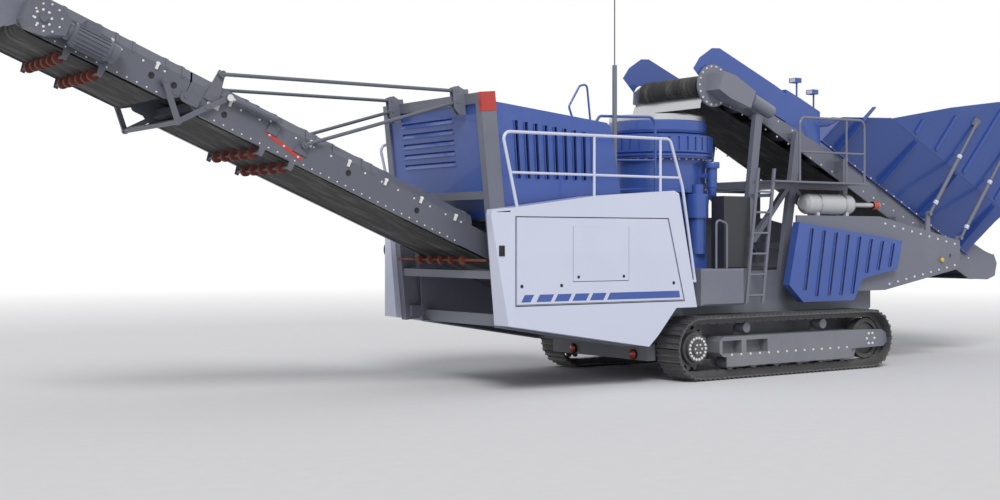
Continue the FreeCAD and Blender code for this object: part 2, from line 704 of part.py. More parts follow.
def discharge_outer():
    y0, y1 = plate_in, plate_in + plate_t
    nb = fold_w * tanN
    end_u = 6010
    pts = [(fold_u + fold_half_gap, plate_h), (fold_u + fold_half_gap, fold_w), (fold_u + fold_half_gap + nb, 0),
           (end_u, 0), (end_u + 110, 60), (end_u + 110, 240), (end_u, plate_h)]
    items = []
    for s in (-1, 1):
        a, b = sorted((s * y0, s * y1))
        plate = dis_side(pts, a, b).cut(dis_round(head_u, (carry_w + return_w) / 2, 32, a - 1, b + 1))
        items.append(plate)
        c0, c1 = sorted((s * (y1 + seat), s * (y1 + 5 - seat)))
        m0, m1 = sorted((s * (y1 - 1), s * (y1 + 5 - seat)))
        p0, p1 = sorted((s * (y1 + seat), s * (y1 + 5 + lug_t + 8)))
        items.append(dis_round(fold_u, fold_w, 34, c0, c1))
        items.append(dis_side([(fold_u, fold_w - 30), (fold_u + 150, fold_w - 30), (fold_u + 150, fold_w + 30), (fold_u, fold_w + 30)], c0, c1))
        items.append(dis_side([(fold_u + 80, fold_w - 30), (fold_u + 150, fold_w - 30), (fold_u + 150, fold_w + 30), (fold_u + 80, fold_w + 30)], m0, m1))
        items.append(dis_round(fold_u, fold_w, pin_r, p0, p1))
        b0, b1 = sorted((s * (y1 - 1), s * (lever_y + lever_t)))
        p0, p1 = sorted((s * (y1 - 1), s * (lever_y + lever_t + seat + link_t + 8)))
        items.append(dis_round(*link_pin, 34, b0, b1))
        items.append(dis_round(*link_pin, pin_r, p0, p1))
        d0, d1 = sorted((s * y0, s * y1))
        for u in (5050, 5450):
            items.append(dis_side([(u - 40, 1), (u + 40, 1), (u + 25, -100), (u - 25, -100)], d0, d1))
    for u in (4450, 5000, 5500):
        items.append(dis_side([(u - 40, 90), (u + 40, 90), (u + 40, 190), (u - 40, 190)], -y0 - 1, y0 + 1))
    for u in (4350, 4900, 5400):
        items.append(dis_round(u, carry_w - 38, 38 - seat, -y0 - 1, y0 + 1))
    for u in (5050, 5450):
        items.append(dis_round(u, disc_w, disc_axle_r, -y0 - 1, y0 + 1))
    return fuse(items)


def discs(us, count, half):
    out = []
    for u in us:
        for i in range(count):
            y = -half + 2 * half * i / (count - 1)
            ring = dis_round(u, disc_w, disc_r, y - 25, y + 25)
            ring = ring.cut(dis_round(u, disc_w, disc_axle_r + seat, y - 30, y + 30))
            out.append(ring)
    return out


def head_drum():
    u, w = head_u, (carry_w + return_w) / 2
    r = tail_r * chord_share - drum_gap
    return fuse([dis_round(u, w, r, -belt_half + 10, belt_half - 10), dis_round(u, w, 32 - pin_gap, -plate_in - plate_t - 8, plate_in + plate_t + 8)])


def discharge_drive():
    """Shaft gearbox on the near end of the head drum's shaft, with its motor lying along the conveyor."""
    u, w = head_u, (carry_w + return_w) / 2
    y1 = -(plate_in + plate_t)
    gear = dis_side([(u + 190, w - 90), (u + 190, w + 120), (u + 60, w + 190), (u - 170, w + 190), (u - 270, w + 110), (u - 270, w - 60),
                     (u - 120, w - 120), (u + 90, w - 140)], y1 - 230, y1 - 10)
    foot = dis_side([(u + 120, w - 60), (u + 120, w + 100), (u - 200, w + 100), (u - 200, w - 60)], y1 - 12, y1)
    shaft = dis_round(u, w, 32 + 8, y1 - 260, y1 - 225)
    p = dis(u - 268, w + 25)
    q = dis(u - 330, w + 25)
    r = dis(u - 760, w + 25)
    s = dis(u - 850, w + 25)
    ym = y1 - 120
    neck = rod((p[0], ym, p[1]), (q[0], ym, q[1]), 95)
    motor = rod((q[0], ym, q[1]), (r[0], ym, r[1]), 120)
    cap = rod((r[0], ym, r[1]), (s[0], ym, s[1]), 105)
    jb = dis_side([(u - 430, w + 100), (u - 430, w + 215), (u - 600, w + 215), (u - 600, w + 100)], ym - 80, ym + 80)
    body = fuse([gear, foot, shaft, neck, motor, cap, jb])
    return body.cut(dis_round(u, w, 34, y1 - 14, y1 + 5)).cut(dis_round(u, w, 34, y1 - 20, y1 - 5))


def head_cover():
    """Guard over the head drum that carries the slotted scraper tray below its lip."""
    y = plate_in + plate_t
    mid = (carry_w + return_w) / 2
    lip_u = (overall_half_length + belt_x0 - 60 * SS) / SC
    shell = dis_side([(6121, plate_h + 60), (6250, plate_h + 40), (6330, 120), (6322, 118), (6244, plate_h + 30), (6121, plate_h + 52)], -y, y)
    items = [shell]
    for s in (-1, 1):
        a, b = sorted((s * y, s * (y + 8)))
        items.append(dis_side([(6000, 30), (6000, plate_h + 60), (6250, plate_h + 60), (6330, 118), (6330, -60), (6100, -60)], a, b))
    tray = dis_side([(6120, -60), (lip_u, -60), (lip_u, -50), (6120, -50)], -y, y)
    for i in range(9):
        yc = -600 + i * 150
        tray = tray.cut(dis_side([(6160, -70), (lip_u - 60, -70), (lip_u - 60, -40), (6160, -40)], yc - 30, yc + 30))
    items.append(tray)
    return fuse(items)


def arm_plate(pts, r, y0, y1):
    """Flat link: discs at its points joined by straight flanks."""
    items = [dis_round(u, w, r, y0, y1) for u, w in pts]
    for (u0, w0), (u1, w1) in zip(pts, pts[1:]):
        length = math.hypot(u1 - u0, w1 - w0)
        nu, nw = -(w1 - w0) / length * r * 0.8, (u1 - u0) / length * r * 0.8
        items.append(dis_side([(u0 + nu, w0 + nw), (u1 + nu, w1 + nw), (u1 - nu, w1 - nw), (u0 - nu, w0 - nw)], y0, y1))
    return items


def fold_lever():
    items = []
    for s in (-1, 1):
        y0, y1 = sorted((s * lever_y, s * (lever_y + lever_t)))
        items += arm_plate([lever_top, lever_pivot, lever_knee], 38, y0, y1)
    items.append(dis_round(*lever_knee, 30, -lever_y - 1, lever_y + 1))
    body = fuse(items)
    return body.cut(dis_round(*lever_pivot, pin_r + pin_gap, -lever_y - 60, lever_y + 60))


def fold_link():
    y0 = -(lever_y + lever_t + seat + link_t)
    y1 = -(lever_y + lever_t + seat)
    body = fuse(arm_plate([link_pin, lever_knee], 38, y0, y1))
    return body.cut(dis_round(*link_pin, pin_r + pin_gap, y0 - 5, y1 + 5))


ram_dir = math.atan2(lever_top[1] - ram_base[1], lever_top[0] - ram_base[0])
ram_rest = math.hypot(lever_top[1] - ram_base[1], lever_top[0] - ram_base[0])
ram_wall = 6


def ram_point(s, off=0):
    u = ram_base[0] + math.cos(ram_dir) * s - math.sin(ram_dir) * off
    w = ram_base[1] + math.sin(ram_dir) * s + math.cos(ram_dir) * off
    x, z = dis(u, w)
    return (x, -ram_y, z)


def fold_barrel():
    eye = dis_round(*ram_base, 40, -ram_y - 22, -ram_y + 22)
    tube = rod(ram_point(36), ram_point(ram_rest - 70), ram_r)
    body = fuse([eye, tube])
    body = body.cut(dis_round(*ram_base, pin_r + pin_gap, -ram_y - 30, -ram_y + 30))
    return body.cut(rod(ram_point(60), ram_point(ram_rest - 60), ram_rod_r + pin_gap))


def fold_rod():
    eye = dis_round(*lever_top, 38, -ram_y - 22, -ram_y + 22)
    pipe = rod(ram_point(70), ram_point(ram_rest - 30), ram_rod_r)
    return fuse([eye, pipe])


def stays():
    out = []
    heads = (por(-110, portal_height + 50), por(-110, portal_height - 90))
    for (u, w, base), h in zip(stay_ears, heads):
        ex, ez = dis(u, w)
        for s in (-1, 1):
            ys = s * stay_y
            body = fuse([rod((h[0], ys, h[1]), (ex, ys, ez), 22), across(h[0], h[1], 40, ys - 18, ys + 18), across(ex, ez, 40, ys - 18, ys + 18)])
            ph = 18 + pin_gap
            body = body.cut(across(h[0], h[1], ph, ys - 30, ys + 30)).cut(across(ex, ez, stay_pin_r + pin_gap, ys - 30, ys + 30))
            out.append(body)
    return out


node("discharge_frame", discharge_frame())
node("discharge_belt_lower", belt_inner())
node("discharge_hood_lower", hood(90, fold_u - 12))
node("return_discs_lower", *discs((2650, 3050), 5, 480))
node("stay_rods", *stays())
node("discharge_outer_frame", discharge_outer())
node("discharge_belt_upper", belt_outer())
node("discharge_hood_upper", hood(fold_u + 12, 6115))
node("return_discs_upper", *discs((5050, 5450), 6, 480))
node("discharge_head_drum", head_drum())
node("discharge_drive", discharge_drive())
node("scraper_cover", head_cover())
node("fold_lever", fold_lever())
lk = fold_link()
node("fold_links", lk, mirror(lk))
fb, fr = fold_barrel(), fold_rod()
node("fold_barrels", fb, mirror(fb))
node("fold_rods", fr, mirror(fr))


# crusher
def turned(prof, x=None, y=0):
    x = crusher_x if x is None else x
    face = poly([(x + r, y, z) for r, z in prof])
    return face.revolve(V(x, y, 0), V(0, 0, 1), 360)


def crusher_base():
    shell = turned([(470, chassis_top), (600, chassis_top), (600, 1500), (560, 1530), (600, 1800), (650, 2500), (drum_r + 30, 2560), (drum_r + 30, 2600),
                    (drum_r, 2620), (drum_r, 3020), (bowl_r - 10, 3040), (bowl_r - 10, bowl_low - seat), (640, bowl_low - seat), (620, 2600),
                    (580, 2450), (520, 1800), (470, 1520)])
    hub = turned([(125 + pin_gap, 1800), (210, 1760), (230, 2100), (200, 2330), (125 + pin_gap, 2330)])
    items = [shell, hub]
    for a in range(4):
        arm = box(180, 560, -45, 45, 1780, 2050)
        arm.rotate(V(0, 0, 0), V(0, 0, 1), 45 + 90 * a)
        arm.translate(V(crusher_x, 0, 0))
        items.append(arm)
    chute = box(crusher_x - 400, crusher_x + 400, -430, 430, 950, chassis_top).cut(
        box(crusher_x - 388, crusher_x + 388, -418, 418, 940, chassis_top - 10)).cut(cyl((crusher_x, 0, chassis_top - 20), (0, 0, 1), 380, 40))
    foot = turned([(380, chassis_top), (600, chassis_top), (600, chassis_top + 8), (380, chassis_top + 8)])
    items += [chute, foot]
    return fuse(items)


def crusher_bowl():
    ring = turned([(500, bowl_top + 20), (560, bowl_top + 20), (bowl_r - 60, bowl_top), (bowl_r, bowl_top - 25), (bowl_r, bowl_low + 55), (bowl_r - 30, bowl_low + 30),
                   (bowl_r + 10, bowl_low + 30), (bowl_r + 10, bowl_low), (633, bowl_low), (622, 2950), (600, 2820), (450, 3260)])
    notches = []
    for i in range(36):
        n = box(bowl_r - 22, bowl_r + 5, -16, 16, bowl_low + 80, bowl_top - 45)
        n.rotate(V(0, 0, 0), V(0, 0, 1), i * 10)
        n.translate(V(crusher_x, 0, 0))
        notches.append(n)
    return ring.cut(Part.makeCompound(notches))


def crusher_cone():
    return turned([(0, 1850), (125, 1850), (125, 2330 + seat), (230, 2330 + seat), (250, 2400), (560, 2560), (575, 2640), (480, 2840), (300, 3120), (230, 3180), (120, 3200),
                   (110, 3260), (0, 3280)])


def feed_ring():
    return turned([(520, bowl_top + 20 + seat), (690, bowl_top + 20 + seat), (705, bowl_top + 60), (705, 3560), (690, 3575), (690, 3640), (650, 3660), (560, 3560),
                   (500, bowl_top + 60)])


def tramp_cylinder():
    x, y = 1100, -925
    return fuse([cyl((x, y, 1700), (0, 0, 1), 110, 520), cyl((x, y, 2200), (0, 0, 1), 150, 330), cyl((x, y, 2530), (0, 0, 1), 80, 130),
                 box(x - 140, x + 140, y - 35, y + 140, chassis_top, 1700)])


node("crusher_base", crusher_base())
node("crusher_bowl", crusher_bowl())
node("crusher_cone", crusher_cone())
node("feed_ring", feed_ring())
node("accumulator_post", tramp_cylinder())


# feed conveyor
feed_belt_t = 14
feed_step = 15          # degrees of each flat of the belt round its drums
feed_mid_z = feed_head_top - (feed_head_r + feed_belt_t) / FC


def fee(d, h):
    """Slope frame of the feed conveyor: d down the slope from the head drum, h square to it."""
    return (feed_head_x + FC * d + FS * h, feed_mid_z - FS * d + FC * h)


feed_len = (feed_tail_x - feed_head_x) / FC


def feed_belt():
    r = feed_head_r
    path = [fee(r * math.cos(math.radians(a)), r * math.sin(math.radians(a))) for a in range(90, 271, feed_step)]
    path += [fee(feed_len + r * math.cos(math.radians(a)), r * math.sin(math.radians(a))) for a in range(270, 451, feed_step)]
    ro = r + feed_belt_t
    outer = [fee(ro * math.cos(math.radians(a)), ro * math.sin(math.radians(a))) for a in range(90, 271, feed_step)]
    outer += [fee(feed_len + ro * math.cos(math.radians(a)), ro * math.sin(math.radians(a))) for a in range(270, 451, feed_step)]
    return side(outer, -belt_half, belt_half).cut(side(path, -belt_half - 1, belt_half + 1))


def feed_frame():
    y0, y1 = feed_plate_in, feed_plate_in + feed_plate_t
    pts = [(1370, 3920), (1380, 4090), (1560, 4215), (2450, 3862), (6940, 2090), (7900, 1700), (8130, 1640), (8200, 1500), (8150, 1300), (7950, 1240),
           (7490, 1240), (7150, 1400), (2550, 3610), (1750, 3830)]
    items = []
    hx, hz = fee(0, 0)
    for s in (-1, 1):
        a, b = sorted((s * y0, s * y1))
        items.append(side(pts, a, b).cut(across(hx, hz, 40, a - 1, b + 1)))
    for d in (700, 1700, 2700, 3700, 4700, 5700):
        x, z = fee(d, 0)
        items.append(side([fee(d - 50, -60), fee(d + 50, -60), fee(d + 50, 60), fee(d - 50, 60)], -y0 - 1, y0 + 1))
    for d in range(400, 6400, 500):
        x, z = fee(d, feed_head_r - 40)
        items.append(across(x, z, 40 - seat, -y0 - 1, y0 + 1))
    tx, tz = fee(feed_len, 0)
    items.append(across(tx, tz, feed_head_r * math.cos(math.radians(feed_step / 2)) - seat, -belt_half, belt_half))
    items.append(across(tx, tz, 40, -y0 - 1, y0 + 1))
    # end cover behind the tail drum
    items.append(side([(8120, 1640), (8200, 1500), (8150, 1300), (7950, 1240), (7955, 1230), (8160, 1290), (8215, 1502), (8132, 1652)], -y1, y1))
    return fuse(items)


def feed_drum():
    x, z = fee(0, 0)
    r = feed_head_r * math.cos(math.radians(feed_step / 2)) - drum_gap
    end = feed_plate_in + feed_plate_t + 10
    return fuse([across(x, z, r, -belt_half + 10, belt_half - 10), across(x, z, 40 - pin_gap, -end, end)])


def feed_drive():
    x, z = fee(0, 0)
    y1 = -(feed_plate_in + feed_plate_t)
    disc = across(x, z, 300, y1 - 50, y1 - 20)
    ring = across(x, z, 120, y1 - 21, y1)
    ym = y1 - 190
    gear = side([fee(-110, -130), fee(-110, 150), fee(120, 190), fee(560, 150), fee(560, -110), fee(150, -150)], ym - 120, y1 - 45)
    p, q, r = fee(559, 60), fee(620, 60), fee(1050, 60)
    motor = rod((q[0], ym, q[1]), (r[0], ym, r[1]), 100)
    neck = rod((p[0], ym, p[1]), (q[0], ym, q[1]), 80)
    body = fuse([disc, ring, gear, motor, neck])
    return body.cut(across(x, z, 41, y1 - 20, y1 + 5))


node("feed_belt", feed_belt())
node("feed_frame", feed_frame())
node("feed_head_drum", feed_drum())
node("feed_drive", feed_drive())


# hopper
def wall_y(n):
    return hop_low_y + (hop_hinge_y - hop_low_y) * n / hop_hinge_n


def wing_y(n):
    return hop_hinge_y + hop_wing_lean * (n - hop_hinge_n)


def sheet_on(points, y_of, t):
    """Sheet of thickness t whose outline is (a, n), on the leaning plane y_of(n), near side."""
    face = poly([(hop(a, n)[0], -y_of(n), hop(a, n)[1]) for a, n in points])
    n0, n1 = 0.0, 100.0
    dy, dn = y_of(n1) - y_of(n0), n1 - n0
    length = math.hypot(dy, dn)
    ex, ez = HS * dy / length, HC * dy / length
    return face.extrude(V(ex * t, dn / length * t, ez * t))


def hopper_base():
    near = sheet_on([(0, 0), (hop_len, 0), (hop_len, hop_hinge_n - seat), (735, hop_hinge_n - seat), (735, 740), (0, 370)], wall_y, sheet)
    items = [near, mirror(near)]
    for s in (-1, 1):
        a, b = sorted((s * (feed_plate_in + feed_plate_t), s * hop_low_y))
        items.append(side([hop(0, -20), hop(hop_len, -20), hop(hop_len, 6), hop(0, 6)], a, b))
        c, d = sorted((s * flap_lug_y, s * (flap_lug_y + 20)))
        fa, fn = flap_pivot
        lug = fuse([side([hop(3700, -20), hop(fa + 22, -20), hop(fa + 22, fn), hop(fa - 22, fn), hop(fa - 22, 60), hop(3700, 5)], c, d),
                    across(*hop(fa, fn), 22, c, d)])
        items.append(lug.cut(across(*hop(fa, fn), 12 + pin_gap, c - 5, d + 5)))
        for u in (300, 1400, 2500, 3600):
            rib = [(s * (wall_y(-20) - 5), -20), (s * (hop_low_y + 120), -20), (s * (wall_y(700) + 60), 690), (s * (wall_y(700) - 5), 700)]
            items.append(section_along(rib, hop, u, u + sheet))
    # front wall over the belt
    fw = section_along([(-hop_low_y, 240), (hop_low_y, 240), (wall_y(370), 370), (-wall_y(370), 370)], hop, 0, sheet)
    items.append(fw)
    return fuse(items)


def hopper_wing():
    low = hop_hinge_n + wing_start
    rim = [(740, low), (1673, 1428), (2488, 1970), (hop_len, hop_top_n), (hop_len, low)]
    return sheet_on(rim, wing_y, sheet)


def hopper_rear():
    g = rear_gap
    y0, y1, y2 = wall_y(150), hop_hinge_y, wing_y(hop_top_n)
    pts = [(-y0, flap_low_n), (y0, flap_low_n), (y1, hop_hinge_n), (y2, hop_top_n), (-y2, hop_top_n), (-y1, hop_hinge_n)]
    body = section_along(pts, hop, hop_len + g, hop_len + g + sheet)
    fa, fn = flap_pivot
    items = [body]
    for s in (-1, 1):
        a, b = sorted((s * (flap_lug_y - 30), s * (flap_lug_y + 50)))
        items.append(across(*hop(fa, fn), 12, a, b))
        for y in (flap_lug_y - 30, flap_lug_y + 20 + seat):
            a, b = sorted((s * y, s * (y + 30 - seat)))
            items.append(across(*hop(fa, fn), 20, a, b))
            back = hop_len + g + sheet - 1
            items.append(side([hop(back, flap_low_n), hop(fa, fn - 20), hop(fa, fn + 20), hop(back, fn + 40)], a, b))
    return fuse(items)


node("hopper_base", hopper_base())
wg = hopper_wing()
node("hopper_wing_near", wg)
node("hopper_wing_far", mirror(wg))
node("hopper_rear_flap", hopper_rear())


# supports, guards and service pieces
leg_in, leg_out = 860, 940
beam_low, beam_top = 2640, 2740
walk_t = 25
walk_out = 1350


def feed_support():
    items = []
    for s in (-1, 1):
        a, b = sorted((s * leg_in, s * leg_out))
        items.append(side([(1940, chassis_top), (2080, chassis_top), (2371, 3690), (2231, 3690)], a, b))
        items.append(side([(2740, chassis_top), (2880, chassis_top), (3210, 3480), (3070, 3480)], a, b))
        items.append(box(4100, 4200, a, b, chassis_top, 3120))
        items.append(box(2100, 4199, a, b, beam_low, beam_top))
        items.append(side([(2130, 1860), (2230, 1860), (2960, beam_low + 20), (2860, beam_low + 20)], a, b))
        items.append(side([(4110, 1700), (4190, 1700), (3080, beam_low + 20), (2990, beam_low + 20)], a, b))
        c, d = sorted((s * (feed_plate_in + feed_plate_t), s * (leg_in + 1)))
        for x, z0, z1 in ((2280, 3640, 3690), (3090, 3390, 3470), (4105, 2930, 3090)):
            items.append(box(x, x + 90, c, d, z0, z1))
    for x, z in ((2140, beam_low + 5), (2960, beam_low + 5), (4110, 1760)):
        items.append(box(x, x + 80, -leg_in - 1, leg_in + 1, z, z + 90))
    return fuse(items)


def platform():
    """Service platform beside the feed conveyor, with its guard rails and ladder, near side."""
    y = -walk_out + 25
    plate = box(2190, 4200, -walk_out, -leg_out, beam_top - walk_t, beam_top)
    r = 19
    z0 = beam_top - 2
    guard = rail([(2720, y, z0), (2720, y, 3650), (4120, y, 3670), (4120, y, z0)], r, 110)
    mid = rod((2720, y, 3160), (4120, y, 3170), r * 0.8)
    post = rod((3720, y, z0), (3720, y, 3660), r * 0.9)
    items = [plate, guard, mid, post]
    ladder_y = -walk_out + 30
    foot, head = 1010, 2900
    for x0 in (1620, 1940):
        items.append(side([(x0, foot), (x0 + 45, foot), (x0 + 45 + 240, head), (x0 + 240, head)], ladder_y - 15, ladder_y + 15))
    lean = 240 / (head - foot)
    for k in range(6):
        z = 1120 + k * 290
        x = 1640 + (z - foot) * lean
        items.append(rod((x, ladder_y, z), (x + 320, ladder_y, z), 16))
    for z in (1520, 2500):
        x = 1955 + (z - foot) * lean
        items.append(box(x, x + 30, ladder_y, -leg_out, z, z + 50))
    items.append(box(2180, 2230, ladder_y - 10, -leg_out - 100, beam_top - walk_t, beam_top - 5))
    return fuse(items)


def side_box():
    body = box(730, 1540, -1400, -web_outer_y, 1000, 1500)
    return body.makeChamfer(25, [e for e in body.Edges if abs(e.BoundBox.YMin + 1400) < 1 and abs(e.BoundBox.YMax + 1400) < 1])


def cabinet():
    body = box(1290, 1800, -1260, -1000, 1500, 2500)
    return body.makeChamfer(15, [e for e in body.Edges if abs(e.BoundBox.YMin + 1260) < 1 and abs(e.BoundBox.YMax + 1260) < 1])


def fluid_tank():
    y, z, r = -1105, 2420, 150
    prof = [(3020, 0), (3025, 80), (3060, 135), (3100, r), (3990, r), (4030, 135), (4065, 80), (4070, 0)]
    face = poly([(x, y, z + h) for x, h in prof])
    body = face.revolve(V(3020, y, z), V(1, 0, 0), 360)
    items = [body]
    for x in (3230, 3860):
        items.append(side([(x, 2250), (x + 60, 2250), (x + 60, 2310), (x, 2310)], -rear_plate_y, -1010))
    items.append(rod((4060, y, z), (4560, y, z), 34))
    items.append(rod((4560, y, z), (4690, y, z), 58))
    return fuse(items)


cover_top = ((2720, 2150), (5010, 1880))
cover_outline = [(2720, 2150), (5010, 1880), (4890, 1450), (4100, 1320), (3900, 1000), (2800, 1000), (2510, 1250)]
cover_depth = 120


def side_cover():
    """Louvred tray cover hung on its top edge; the slots slant back."""
    y0, y1 = -rear_plate_y - seat, -rear_plate_y - seat - cover_depth
    cx = sum(p[0] for p in cover_outline) / len(cover_outline)
    cz = sum(p[1] for p in cover_outline) / len(cover_outline)
    inner = [(cx + (x - cx) * 0.985, cz + (z - cz) * 0.975) for x, z in cover_outline]
    body = side(cover_outline, y1, y0).cut(side(inner, y1 + 12, y0 + 1))
    slots = ((2980, 2060, 2830, 1170), (3240, 2030, 3075, 1080), (3500, 2000, 3340, 1080), (3760, 1970, 3600, 1080), (4020, 1940, 3850, 1100),
             (4280, 1905, 4170, 1400), (4540, 1875, 4430, 1440), (4790, 1840, 4700, 1490))      # x top, z top, x foot, z foot
    for xt, zt, xf, zf in slots:
        body = body.cut(side([(xt, zt), (xt + 45, zt), (xf + 45, zf), (xf, zf)], y1 - 5, y1 + 17))
    return body


def mast():
    x, y = -385, -900
    return fuse([cyl((x, y, deck_z), (0, 0, 1), 32, 2060), cyl((x, y, 4200), (0, 0, 1), 9, 900), box(x - 60, x + 60, y - 60, y + 60, deck_z, deck_z + 20)])


def guards():
    """Arched side guards at the head of the feed conveyor."""
    y = feed_plate_in + feed_plate_t
    arch = [(1400, 4090), (1180, 4300), (1300, 4460), (1540, 4610), (1690, 4620), (2810, 4170), (3050, 4060), (3050, 3640), (2450, 3875), (1570, 4225)]
    hx, hz = fee(0, 0)
    near = side(arch, -y - 8, -y).cut(across(hx, hz, 130, -y - 10, -y + 1))
    return [near, mirror(near)]


def canopy():
    """Box over the belt between the guards, with two lamp posts."""
    y = feed_plate_in + feed_plate_t
    out = [(3060, 4120), (3360, 4010), (3800, 3830), (3800, 3330), (3740, 3355), (3060, 3622)]
    ins = [(3068, 4100), (3355, 3998), (3790, 3820), (3790, 3000), (3068, 3000)]
    body = side(out, -y, y).cut(side(ins, -y + 8, y - 8))
    low = side([(3000, 3645), (3900, 3290), (3900, 2900), (3000, 2900)], -y - 1, y + 1)
    body = body.cut(low)
    body = body.cut(side([(3060, 3900), (3360, 3800), (3800, 3620), (3800, 2900), (3050, 2900)], -feed_plate_in + 30, feed_plate_in - 30))
    items = [body]
    for x, z in ((3330, 4020), (3700, 3870)):
        items.append(cyl((x, -y + 40, z - 40), (0, 0, 1), 14, 260))
        items.append(box(x - 90, x + 30, -y - 30, -y + 110, z + 215, z + 285))
    return fuse(items)


def wing_struts():
    out = []
    for a in strut_a:
        x0, z0 = hop(a, strut_foot_n)
        y0 = -rear_plate_y - seat - 22
        n1 = strut_head_n
        x1, z1 = hop(a, n1)
        y1 = -wing_y(n1) - 32
        foot = across(x0, z0, 36, y0 - 20, y0 + 22)
        pad = sheet_on([(a - 60, n1 - 60), (a + 60, n1 - 60), (a + 60, n1 + 60), (a - 60, n1 + 60)], wing_y, -34)
        out.append(fuse([foot, rod((x0, y0, z0), (x1, y1, z1), 22), rod((x0 + (x1 - x0) * 0.12, y0 + (y1 - y0) * 0.12, z0 + (z1 - z0) * 0.12),
                                                                       (x0 + (x1 - x0) * 0.62, y0 + (y1 - y0) * 0.62, z0 + (z1 - z0) * 0.62), 32), pad]))
    return out


node("feed_support", feed_support())
node("service_platform", platform())
sb = side_box()
node("side_boxes", sb, mirror(sb))
node("control_cabinet", cabinet())
node("fluid_tank", fluid_tank())
sc = side_cover()
node("side_cover_near", sc)
node("side_cover_far", mirror(sc))
node("antenna_mast", mast())
node("feed_guards", fuse(guards() + [canopy()]))
ws = wing_struts()
node("wing_struts_near", *ws)
node("wing_struts_far", *[mirror(w) for w in ws])


if __name__ == "__main__":
    os.makedirs("parts", exist_ok=True)
    for name, solids in save_list:
        save(name, solids)
        for s in solids:
            print(name, s.isValid(), len(s.Solids), round(s.Volume / 1e9, 4))
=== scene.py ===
# %% [markdown]
# # A tracked mobile crusher, dressed for a picture
# The rigid machine comes from the CAD frame: every panel, belt and track is already there in real size.
# What is left for Blender is the finish of each surface and the small hardware that gives the machine its
# scale, such as bolts, latches, lamps, stripes and grab rails. We load the frame first. Nothing that is
# added later may make the machine larger.

# %% Load the frame
import json
import math
import bmesh
import bpy
from mathutils import Matrix, Vector


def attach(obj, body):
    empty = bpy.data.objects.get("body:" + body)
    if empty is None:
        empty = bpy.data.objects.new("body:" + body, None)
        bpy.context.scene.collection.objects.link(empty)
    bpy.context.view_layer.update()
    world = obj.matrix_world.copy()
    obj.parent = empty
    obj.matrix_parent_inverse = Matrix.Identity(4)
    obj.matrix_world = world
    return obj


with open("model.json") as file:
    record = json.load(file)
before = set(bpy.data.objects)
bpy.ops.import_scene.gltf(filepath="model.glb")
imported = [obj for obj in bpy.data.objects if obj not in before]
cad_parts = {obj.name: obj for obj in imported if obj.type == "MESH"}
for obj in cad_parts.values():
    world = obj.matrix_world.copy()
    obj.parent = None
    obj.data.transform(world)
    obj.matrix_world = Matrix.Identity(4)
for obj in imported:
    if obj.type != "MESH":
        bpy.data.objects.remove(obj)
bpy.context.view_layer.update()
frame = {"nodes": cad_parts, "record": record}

# %% [markdown]
# ## Shader sums written as sums
# A paint is mostly arithmetic: so much dust where it is low, a little more where a cloud is dense. Wiring
# Math nodes by hand hides that. A small class that stands for one socket, with + - * defined on it, lets the
# formula be read as a formula, while the tree that comes out is an ordinary one. Colours can't go through
# Math, which would turn them grey, so they have a mixing call of their own.

# %% A wire and the bench it lies on
class Wire:
    """One output socket of a shader tree."""
    def __init__(self, bench, socket):
        self.bench, self.socket = bench, socket

    def __add__(self, other):
        return self.bench.maths("ADD", self, other)
    __radd__ = __add__

    def __sub__(self, other):
        return self.bench.maths("SUBTRACT", self, other)

    def __rsub__(self, other):
        return self.bench.maths("SUBTRACT", other, self)

    def __mul__(self, other):
        return self.bench.maths("MULTIPLY", self, other)
    __rmul__ = __mul__

    def clip(self, low=0.0, high=1.0):
        return self.bench.node("ShaderNodeClamp", {}, {"Value": self, "Min": low, "Max": high})


class Bench:
    """A material's tree, with one call that adds any node."""
    def __init__(self, name):
        self.material = bpy.data.materials.new(name)
        self.material.use_nodes = True
        self.tree = self.material.node_tree
        self.tree.nodes.clear()
        self.end = self.tree.nodes.new("ShaderNodeOutputMaterial")

    def node(self, kind, settings=None, values=None, out=0):
        n = self.tree.nodes.new(kind)
        for key, value in (settings or {}).items():
            setattr(n, key, value)
        for key, value in (values or {}).items():
            self.feed(n.inputs[key], value)
        return Wire(self, n.outputs[out])

    def feed(self, socket, value):
        if isinstance(value, Wire):
            self.tree.links.new(value.socket, socket)
        elif isinstance(value, tuple) and socket.type == "RGBA":
            socket.default_value = (*value[:3], 1.0)
        else:
            socket.default_value = value

    def maths(self, operation, a, b):
        return self.node("ShaderNodeMath", {"operation": operation}, {0: a, 1: b})

    def mix(self, first, second, share):
        """first where share is 0, second where it is 1; both are colours."""
        return self.node("ShaderNodeMix", {"data_type": "RGBA"}, {0: share, 6: first, 7: second}, out=2)

    def cloud(self, place, scale, detail=4.0, rough=0.55):
        return self.node("ShaderNodeTexNoise", {},
                         {"Vector": place, "Scale": scale, "Detail": detail, "Roughness": rough}, out=0)

    def surface(self, colour, rough, metal=0.0, coat=0.0, bump=None, depth=0.0003, **plain):
        values = {"Base Color": colour, "Roughness": rough, "Metallic": metal, "Coat Weight": coat, **plain}
        if bump is not None:
            values["Normal"] = self.node("ShaderNodeBump", {},
                                         {"Strength": 0.6, "Distance": depth, "Height": bump})
        shader = self.node("ShaderNodeBsdfPrincipled", {}, values)
        self.tree.links.new(shader.socket, self.end.inputs["Surface"])
        return self.material


def shade(colour, factor):
    return tuple(min(c * factor, 1.0) for c in colour)


print("shader bench ready")

# %% [markdown]
# ## Sprayed paint
# Panels of such a machine are sprayed with two-part paint. Seen close it has orange peel, a fine waviness;
# seen from afar it varies in tone by a few percent, and stone dust settles on it, more near the ground.
# An image could carry this, but noise on Object coordinates needs no unwrapping and runs on across panels.
# One function makes every paint, so that all panels share one kind of dust.

# %% Paint
dust_tint = (0.34, 0.32, 0.29)


